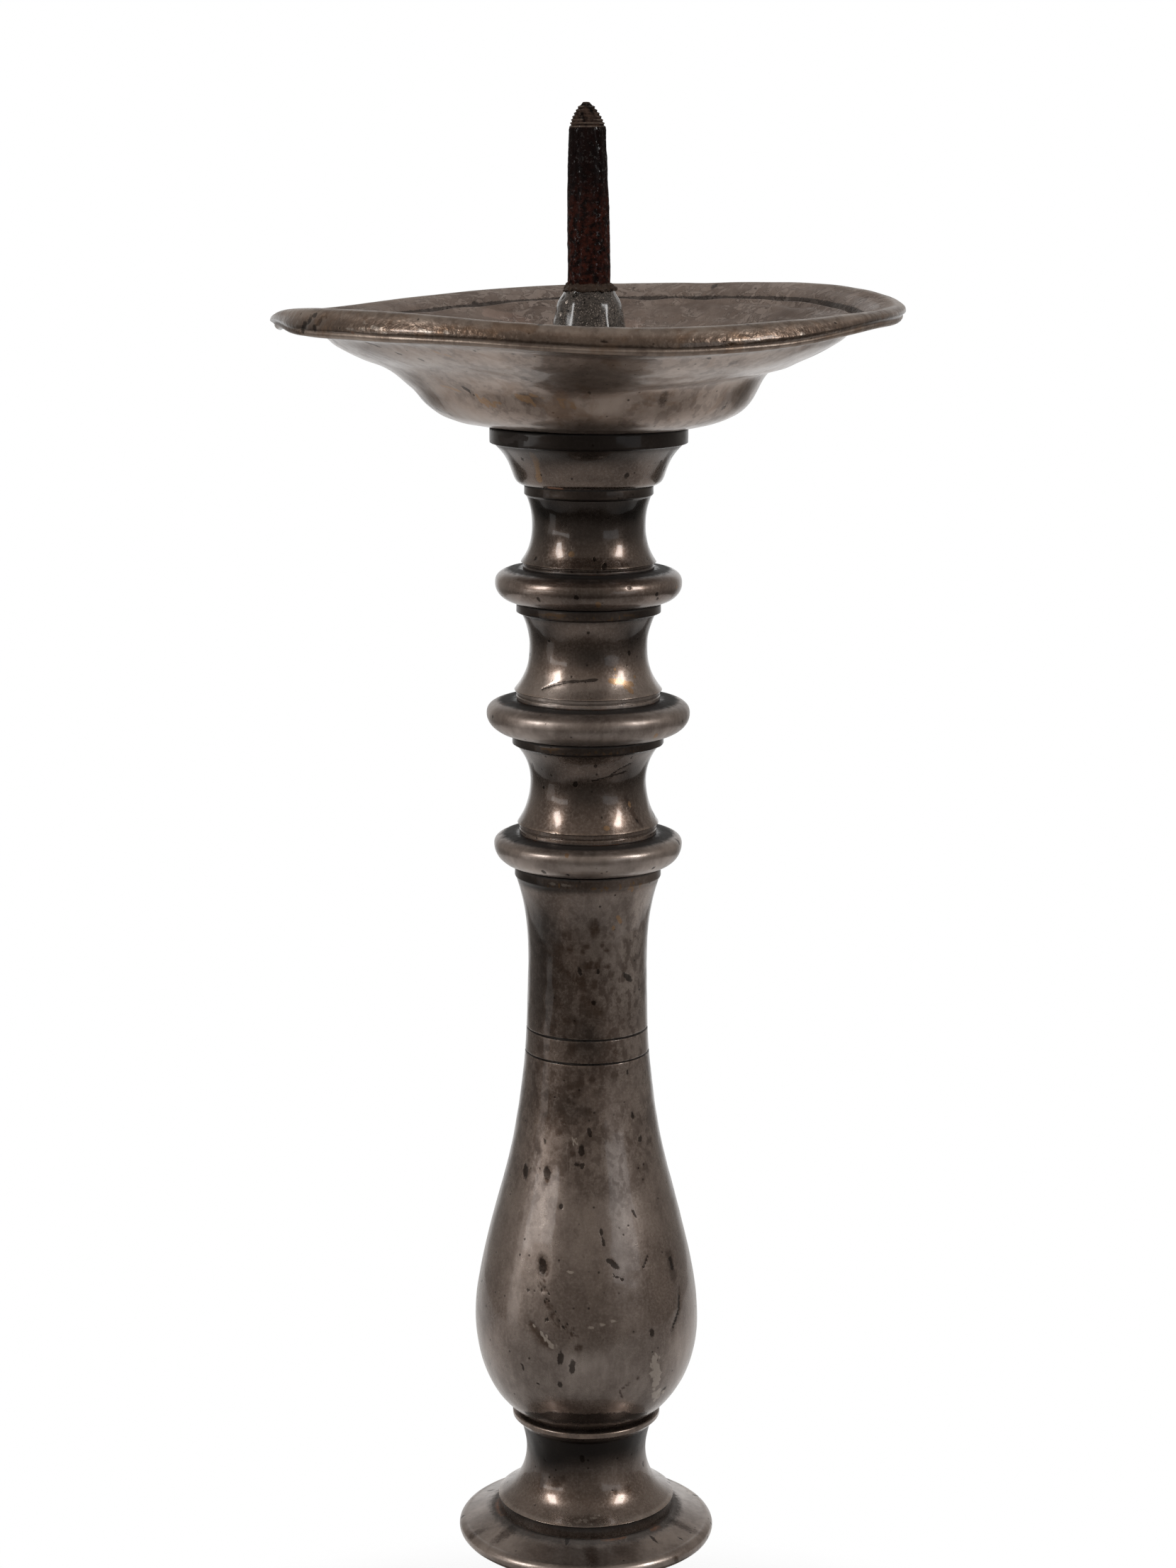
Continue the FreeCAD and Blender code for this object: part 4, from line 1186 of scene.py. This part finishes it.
def cloud(tree, size, seed, detail=4.0, stretch=(1, 1, 1), roughness=0.55, distortion=0.0):
    """Noise with lumps about size metres across, from 0 to 1. size and seed are sockets or numbers."""
    inputs = {"Vector": shifted(tree, seed, stretch), "Scale": maths(tree, "DIVIDE", 1.0, size),
              "Detail": detail, "Roughness": roughness, "Distortion": distortion}
    return add_node(tree, "ShaderNodeTexNoise", inputs).outputs[0]


def attribute(tree, name):
    return add_node(tree, "ShaderNodeAttribute", attribute_name=name).outputs["Fac"]


def link_out(tree, results, **values):
    for key, value in values.items():
        tree.links.new(value, results[key.replace("_", " ")])


# %% Mottling
mottling, given, results = new_group("mottling", {"Size": 12 * mm, "Seed": 0.0},
                                     ["Broad", "Fine", "Streaks", "Blotches"])
size, seed = given["Size"], given["Seed"]
broad = cloud(mottling, size, seed, detail=3.0)
fine = cloud(mottling, times(mottling, size, 0.06), seed)
streaks = cloud(mottling, times(mottling, size, 0.22), seed, stretch=(1, 1, 0.2))
blotches = cloud(mottling, times(mottling, size, 0.17), seed, stretch=(1, 1, 0.7))
blotches = times(mottling, ramp(mottling, blotches, 0.45, 0.58), ramp(mottling, broad, 0.28, 0.55))
link_out(mottling, results, Broad=ramp(mottling, broad, 0.3, 0.7), Fine=ramp(mottling, fine, 0.25, 0.75),
         Streaks=ramp(mottling, streaks, 0.3, 0.7), Blotches=blotches)

# %% Marks, rubbed edges and seam dirt
ageing, given, results = new_group("ageing", {"Ragged": 1.5, "Edge Rub": 0.5, "Seam Dirt": 1.0, "Seed": 0.0},
                                   ["Rubbed", "Edge", "Rust", "Rough", "Black", "Pale", "Grime"])
grain = cloud(ageing, 1.1 * mm, given["Seed"], detail=6.0, roughness=0.65)
ragged = times(ageing, grain, given["Ragged"], times(ageing, given["Ragged"], -0.5))
soft_outline, firm_outline = (0.12, 1.1), (0.3, 0.68)
masks = {}
for kind in mark_kinds:
    outer, inner = soft_outline if kind == "rough" else firm_outline
    mark = attribute(ageing, kind)
    torn = times(ageing, ragged, times(ageing, mark, 2.5, clamp=True))
    masks[kind] = ramp(ageing, maths(ageing, "ADD", mark, torn), outer, inner)
patch = ramp(ageing, cloud(ageing, 5 * mm, given["Seed"], detail=3.0), 0.4, 0.64)
edge = times(ageing, attribute(ageing, "edge"), patch)
torn = times(ageing, ragged, 0.6)
edge = ramp(ageing, times(ageing, edge, maths(ageing, "ADD", torn, 1.0), clamp=True), 0.1, 0.6)
edge = times(ageing, edge, given["Edge Rub"])
seam = times(ageing, attribute(ageing, "seam"), 1.2, torn)
grime = times(ageing, ramp(ageing, seam, 0.3, 0.9), given["Seam Dirt"], clamp=True)
warm = ramp(ageing, cloud(ageing, 7 * mm, given["Seed"], detail=3.0), 0.5, 0.68)
seam_rust = times(ageing, ramp(ageing, seam, 0.8, 1.25), warm)
masks["rust"] = most(ageing, masks["rust"], seam_rust)
link_out(ageing, results, Edge=edge, Grime=grime, **{kind.capitalize(): mask for kind, mask in masks.items()})

# %% Pits and scratches
damage, given, results = new_group(
    "damage", {"Pit Size": 1.4 * mm, "Pits": 0.25, "Scratches": 0.5, "Seed": 0.0}, ["Pits", "Scratches"])
cells = add_node(damage, "ShaderNodeTexVoronoi", {"Vector": shifted(damage, given["Seed"]),
                                                  "Scale": maths(damage, "DIVIDE", 1.0, given["Pit Size"])})
chance = add_node(damage, "ShaderNodeSeparateColor", {0: cells.outputs["Color"]}).outputs[0]
chosen = maths(damage, "LESS_THAN", chance, given["Pits"])
pit = times(damage, ramp(damage, cells.outputs["Distance"], 0.1, 0.36, 1.0, 0.0), chosen)
# Scratches are thin lines where a cloud of noise crosses its middle value.
line_full, line_gone = 0.004, 0.014
lines = []
for turn, stretch in ((0.0, (1, 1, 0.06)), (0.9, (0.09, 1.0, 1.0)), (-0.7, (1.0, 0.12, 0.7))):
    line = cloud(damage, 2.2 * mm, given["Seed"], detail=1.0, stretch=stretch, distortion=0.4 + 0.1 * turn)
    off = maths(damage, "ABSOLUTE", maths(damage, "SUBTRACT", line, 0.5))
    here = ramp(damage, cloud(damage, 6 * mm, turn, detail=2.0), 0.52, 0.66)
    lines.append(times(damage, ramp(damage, off, line_full, line_gone, 1.0, 0.0), here))
link_out(damage, results, Pits=pit, Scratches=times(damage, most(damage, *lines), given["Scratches"]))

# %% Dust
dust, given, results = new_group("dust", {"Amount": 0.5, "Seed": 0.0}, ["Dust"])
normal = add_node(dust, "ShaderNodeNewGeometry").outputs["Normal"]
facing = add_node(dust, "ShaderNodeSeparateXYZ", {0: normal})
upward = ramp(dust, facing.outputs["Z"], 0.35, 0.95)
specks = ramp(dust, cloud(dust, 0.7 * mm, given["Seed"]), 0.45, 0.75)
drifts = ramp(dust, cloud(dust, 9 * mm, given["Seed"]), 0.35, 0.7)
settled = times(dust, upward, times(dust, specks, 0.5, times(dust, drifts, 0.5)))
link_out(dust, results, Dust=times(dust, settled, given["Amount"]))

# %% [markdown]
# ## Metal finishes
# The patina is a thin dark skin on bright metal. It is mostly metallic, a little rough, and has a
# faint waxy gloss, which is the coat of the shader. Where the skin is rubbed away the yellow metal
# shows; where dirt lies it is dull. All the finishes are made by one function with other values.

# %% Metal finishes
ochre, rust_colour, black_colour = (0.25, 0.145, 0.07, 1), (0.15, 0.06, 0.025, 1), (0.007, 0.005, 0.004, 1)
# The pale scuff colour also paints the glints on the pan's rim.
stain_and_shade, scuff_and_glint = (0.045, 0.025, 0.015, 1), (0.42, 0.36, 0.31, 1)
# The stain colour also paints the shade under the left end of the pan's rim.
edge_colour, dust_colour = (0.28, 0.21, 0.165, 1), (0.30, 0.27, 0.245, 1)
# How much of a finish's metal and coat is lost where it is dull with dirt, satin or blackened, and how
# much rougher it gets there.
metal_lost, coat_lost_dull, coat_lost_satin = 0.6, 0.8, 0.7
dull_rougher, satin_rougher = 0.3, 0.14
scratches, roughness_spread = 0.4, 0.08


def tones(base, dark, bright, pale):
    """Four colours: plain, in clouds and streaks, polished (also a painted highlight), and satin."""
    return {"base": (*base, 1), "dark": (*dark, 1), "bright": (*bright, 1), "pale": (*pale, 1)}


def begin_metal(name, base, dark, bright, pale, seed, size=12 * mm, edge_rub=0.7, seam_dirt=1.0,
                dust_amount=0.15, pits=0.03, metallic=0.95, roughness=0.2, coat=0.6, streaks=0.15):
    """The sockets of a metal finish, which a piece may still change before finish_metal links them."""
    material = bpy.data.materials.new(name)
    material.use_nodes = True
    tree = material.node_tree
    clouds = place_group(tree, mottling, {"Size": size, "Seed": seed})
    worn_and_painted_light, satin_share = attribute(tree, "polish_and_painted_light"), attribute(tree, "satin")
    marked = place_group(tree, ageing, {"Edge Rub": edge_rub, "Seam Dirt": seam_dirt, "Seed": seed + 3})
    harm = place_group(tree, damage, {"Pits": pits, "Scratches": scratches, "Seed": seed + 5})
    fallen = place_group(tree, dust, {"Amount": dust_amount, "Seed": seed + 7})["Dust"]
    spots = times(tree, clouds["Blotches"], attribute(tree, "spots"))
    sunk = most(tree, harm["Pits"], marked["Black"])
    colour = base
    for mask, strength, tint in ((times(tree, worn_and_painted_light, 2.0, -1.0, clamp=True), 1.0, bright),
                                 (times(tree, satin_share, worn_and_painted_light), 1.0, pale), (clouds["Broad"], 0.5, dark),
                                 (clouds["Streaks"], streaks, dark),
                                 (times(tree, clouds["Fine"], clouds["Fine"]), 0.3, pale),
                                 (spots, 0.9, dark), (marked["Rough"], 0.85, stain_and_shade),
                                 (marked["Edge"], 0.7, edge_colour), (marked["Grime"], 0.8, black_colour),
                                 (marked["Rubbed"], 0.8, ochre), (marked["Rust"], 0.75, rust_colour),
                                 (harm["Scratches"], 0.5, pale), (sunk, 0.75, black_colour),
                                 (marked["Pale"], 0.7, scuff_and_glint), (fallen, 1.0, dust_colour)):
        colour = mix_colour(tree, times(tree, mask, strength), colour, tint)
    # A low polish mask blackens the colour: in places that paints shade and a dark reflection.
    blackening = times(tree, worn_and_painted_light, -2.0, 0.97, clamp=True)
    colour = mix_colour(tree, blackening, colour, black_colour)
    dull = most(tree, marked["Grime"], marked["Rust"], fallen)
    rough = times(tree, satin_share, satin_rougher, roughness)
    for mask, share in ((clouds["Fine"], 1.0), (clouds["Streaks"], 0.5),
                        (most(tree, spots, marked["Rough"]), 1.0)):
        rough = times(tree, mask, roughness_spread * share, rough)
    rough = times(tree, dull, dull_rougher, rough, clamp=True)
    unglossy = most(tree, satin_share, times(tree, blackening, 0.5))
    gloss = times(tree, most(tree, dull, sunk), -coat_lost_dull * coat, coat, clamp=True)
    gloss = times(tree, unglossy, -coat_lost_satin * coat, gloss, clamp=True)
    height = times(tree, clouds["Fine"], 0.015, times(tree, sunk, -0.6))
    height = times(tree, times(tree, marked["Rough"], clouds["Fine"]), -0.7, height)
    height = times(tree, harm["Scratches"], -0.3, height)
    metal = times(tree, dull, -metal_lost, metallic, clamp=True)
    return {"material": material, "tree": tree, "colour": colour, "metal": metal, "rough": rough,
            "gloss": gloss, "height": height, "marked": marked}


def finish_metal(parts, bump=0.05 * mm, coat_roughness=0.08):
    tree = parts["tree"]
    shader = tree.nodes["Principled BSDF"]
    for key, socket in (("Base Color", "colour"), ("Metallic", "metal"), ("Roughness", "rough"),
                        ("Coat Weight", "gloss")):
        tree.links.new(parts[socket], shader.inputs[key])
    shader.inputs["Coat Roughness"].default_value = coat_roughness
    relief = add_node(tree, "ShaderNodeBump", {"Height": parts["height"], "Strength": 1.0, "Distance": bump})
    tree.links.new(relief.outputs[0], shader.inputs["Normal"])
    return parts["material"]


def dress(piece, material):
    piece.data.materials.clear()
    piece.data.materials.append(material)


# %% Stem, foot and fittings
bronze = tones((0.152, 0.109, 0.086), (0.050, 0.030, 0.020), (0.355, 0.298, 0.262), (0.34, 0.288, 0.255))
ring_finish = finish_metal(begin_metal("dark_bronze", **bronze, seed=11.0))
long_finish = finish_metal(begin_metal("streaked_bronze", **bronze, seed=13.0, streaks=0.3))
long_pieces = ("base_bell", "trumpet_neck", "baluster")
ring_pieces = ("base_flange", *knop_sizes, *drum_sizes, "capital")
for names, finish in ((ring_pieces, ring_finish), (long_pieces, long_finish)):
    for name in names:
        dress(skins[name], finish)
iron = tones((0.075, 0.055, 0.047), (0.03, 0.02, 0.016), (0.10, 0.08, 0.07), (0.14, 0.11, 0.095))
fitting_finish = finish_metal(
    begin_metal("rusted_iron", **iron, seed=15.0, size=6 * mm, edge_rub=0.0, metallic=0.5, roughness=0.5,
                coat=0.05, streaks=0.3), bump=0.12 * mm)
for name in ("washer", "nut"):
    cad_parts[name].data.materials.clear()
    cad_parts[name].data.materials.append(fitting_finish)

# %% Pan
pan_tones = tones((0.21, 0.150, 0.114), (0.075, 0.047, 0.033), (0.39, 0.31, 0.26), (0.34, 0.28, 0.235))
well_tones = tones((0.20, 0.155, 0.13), (0.11, 0.08, 0.066), (0.34, 0.28, 0.245), (0.17, 0.10, 0.058))
pan = begin_metal("pan_bronze", **pan_tones, seed=21.0, size=16 * mm, edge_rub=0.4, seam_dirt=0.9,
                  roughness=0.26, coat=0.4)
tree = pan["tree"]
well = ramp(tree, attribute(tree, "inside"), 0.4, 1.0)
warm_patches = ramp(tree, cloud(tree, 8 * mm, 14.0, detail=5.0, distortion=0.6), 0.5, 0.66)
blackening = ramp(tree, cloud(tree, 14 * mm, 4.0, detail=5.0), 0.38, 0.68)
flakes = ramp(tree, cloud(tree, 3.4 * mm, 9.0, detail=5.0, distortion=1.4), 0.46, 0.54)
flakes = times(tree, flakes, ramp(tree, cloud(tree, 11 * mm, 8.0, detail=3.0), 0.36, 0.55))
well_colour = mix_colour(tree, blackening, well_tones["base"], well_tones["dark"])
well_colour = mix_colour(tree, times(tree, flakes, 0.6), well_colour, well_tones["bright"])
# Black marks in the well: real specks, and the painted shadow in the groove.
well_specks_and_groove_shade = times(tree, pan["marked"]["Black"], times(tree, well, 0.65))
for mask, tint in ((times(tree, warm_patches, 0.5), well_tones["pale"]),
                   (times(tree, well, 0.7), well_colour), (well_specks_and_groove_shade, black_colour)):
    pan["colour"] = mix_colour(tree, mask, pan["colour"], tint)
for key, amount in (("metal", -0.45), ("rough", 0.22), ("gloss", -0.25)):
    pan[key] = times(tree, well, amount, pan[key], clamp=True)
crumbs = cloud(tree, 1.4 * mm, 2.0, detail=6.0, roughness=0.65)
pan["height"] = times(tree, times(tree, crumbs, 4.0, times(tree, flakes, 7.0)), well, pan["height"])
battered = times(tree, cloud(tree, 1.8 * mm, 17.0, detail=2.0), 4.0)
pan["height"] = times(tree, battered, attribute(tree, "rim"), pan["height"])
dress(skins["drip_pan"], finish_metal(pan, bump=0.06 * mm))

# %% Crumbly finishes: collar, spike and wax


def roughened(parts, size, seed, amount, finest=6.0):
    """Adds crumbs of about size metres to the relief of a finish."""
    tree = parts["tree"]
    crumbs = cloud(tree, size, seed, detail=finest, roughness=0.7)
    parts["height"] = times(tree, crumbs, amount, parts["height"])
    return parts


def set_specular(parts, level):
    parts["tree"].nodes["Principled BSDF"].inputs["Specular IOR Level"].default_value = level


glossy_black = tones((0.036, 0.027, 0.021), (0.008, 0.005, 0.004), (0.08, 0.07, 0.06), (0.2, 0.16, 0.13))
collar = begin_metal("glossy_black_bronze", **glossy_black, seed=31.0, size=3 * mm, edge_rub=0.2,
                     metallic=0.8, roughness=0.26, coat=1.0, pits=0.3, dust_amount=0.02)
collar = roughened(collar, 1.5 * mm, 3.0, 3.4, finest=2.0)
dress(skins["collar"], finish_metal(collar, bump=0.3 * mm, coat_roughness=0.18))

forged = tones((0.004, 0.0018, 0.0016), (0.002, 0.001, 0.001), (0.01, 0.006, 0.005), (0.01, 0.004, 0.003))
red_rust, brown_rust = (0.040, 0.009, 0.005, 1), (0.055, 0.034, 0.025, 1)
spike = begin_metal("forged_iron", **forged, seed=41.0, size=5 * mm, edge_rub=0.5, metallic=0.1,
                    roughness=0.5, coat=0.0, pits=0.3, dust_amount=0.0)
spike = roughened(spike, 1.2 * mm, 5.0, 2.2)
tree = spike["tree"]
level = add_node(tree, "ShaderNodeSeparateXYZ", {0: shifted(tree, 0.0)}).outputs["Z"]
low_half = ramp(tree, level, spike_level + 15 * mm, spike_level + 32 * mm, 1.0, 0.1)
ridged = ramp(tree, level, shoulder - 1 * mm, shoulder + 1 * mm)
reddish = ramp(tree, cloud(tree, 1.6 * mm, 6.0, detail=5.0), 0.35, 0.7)
for where, tint in ((low_half, red_rust), (ridged, brown_rust)):
    spike["colour"] = mix_colour(tree, times(tree, where, reddish), spike["colour"], tint)
glints = ramp(tree, cloud(tree, 0.8 * mm, 12.0, detail=3.0), 0.58, 0.66)
drawn = ramp(tree, cloud(tree, 1.2 * mm, 16.0, stretch=(1, 1, 0.12)), 0.4, 0.65)
spike["gloss"] = times(tree, drawn, 0.08, times(tree, glints, 0.7))
set_specular(spike, 0.03)
dress(skins["pricket"], finish_metal(spike, bump=0.3 * mm, coat_roughness=0.2))

caking = tones((0.030, 0.015, 0.009), (0.006, 0.003, 0.002), (0.1, 0.07, 0.05), (0.20, 0.13, 0.08))
wax = begin_metal("old_wax_and_rust", **caking, seed=51.0, size=2 * mm, edge_rub=0.0, metallic=0.0,
                  roughness=0.5, coat=0.1, pits=0.3, dust_amount=0.0)
wax = roughened(wax, 0.5 * mm, 7.0, 2.0)
set_specular(wax, 0.2)
wax_finish = finish_metal(wax, bump=0.3 * mm)
for piece in caked:
    dress(piece, wax_finish)
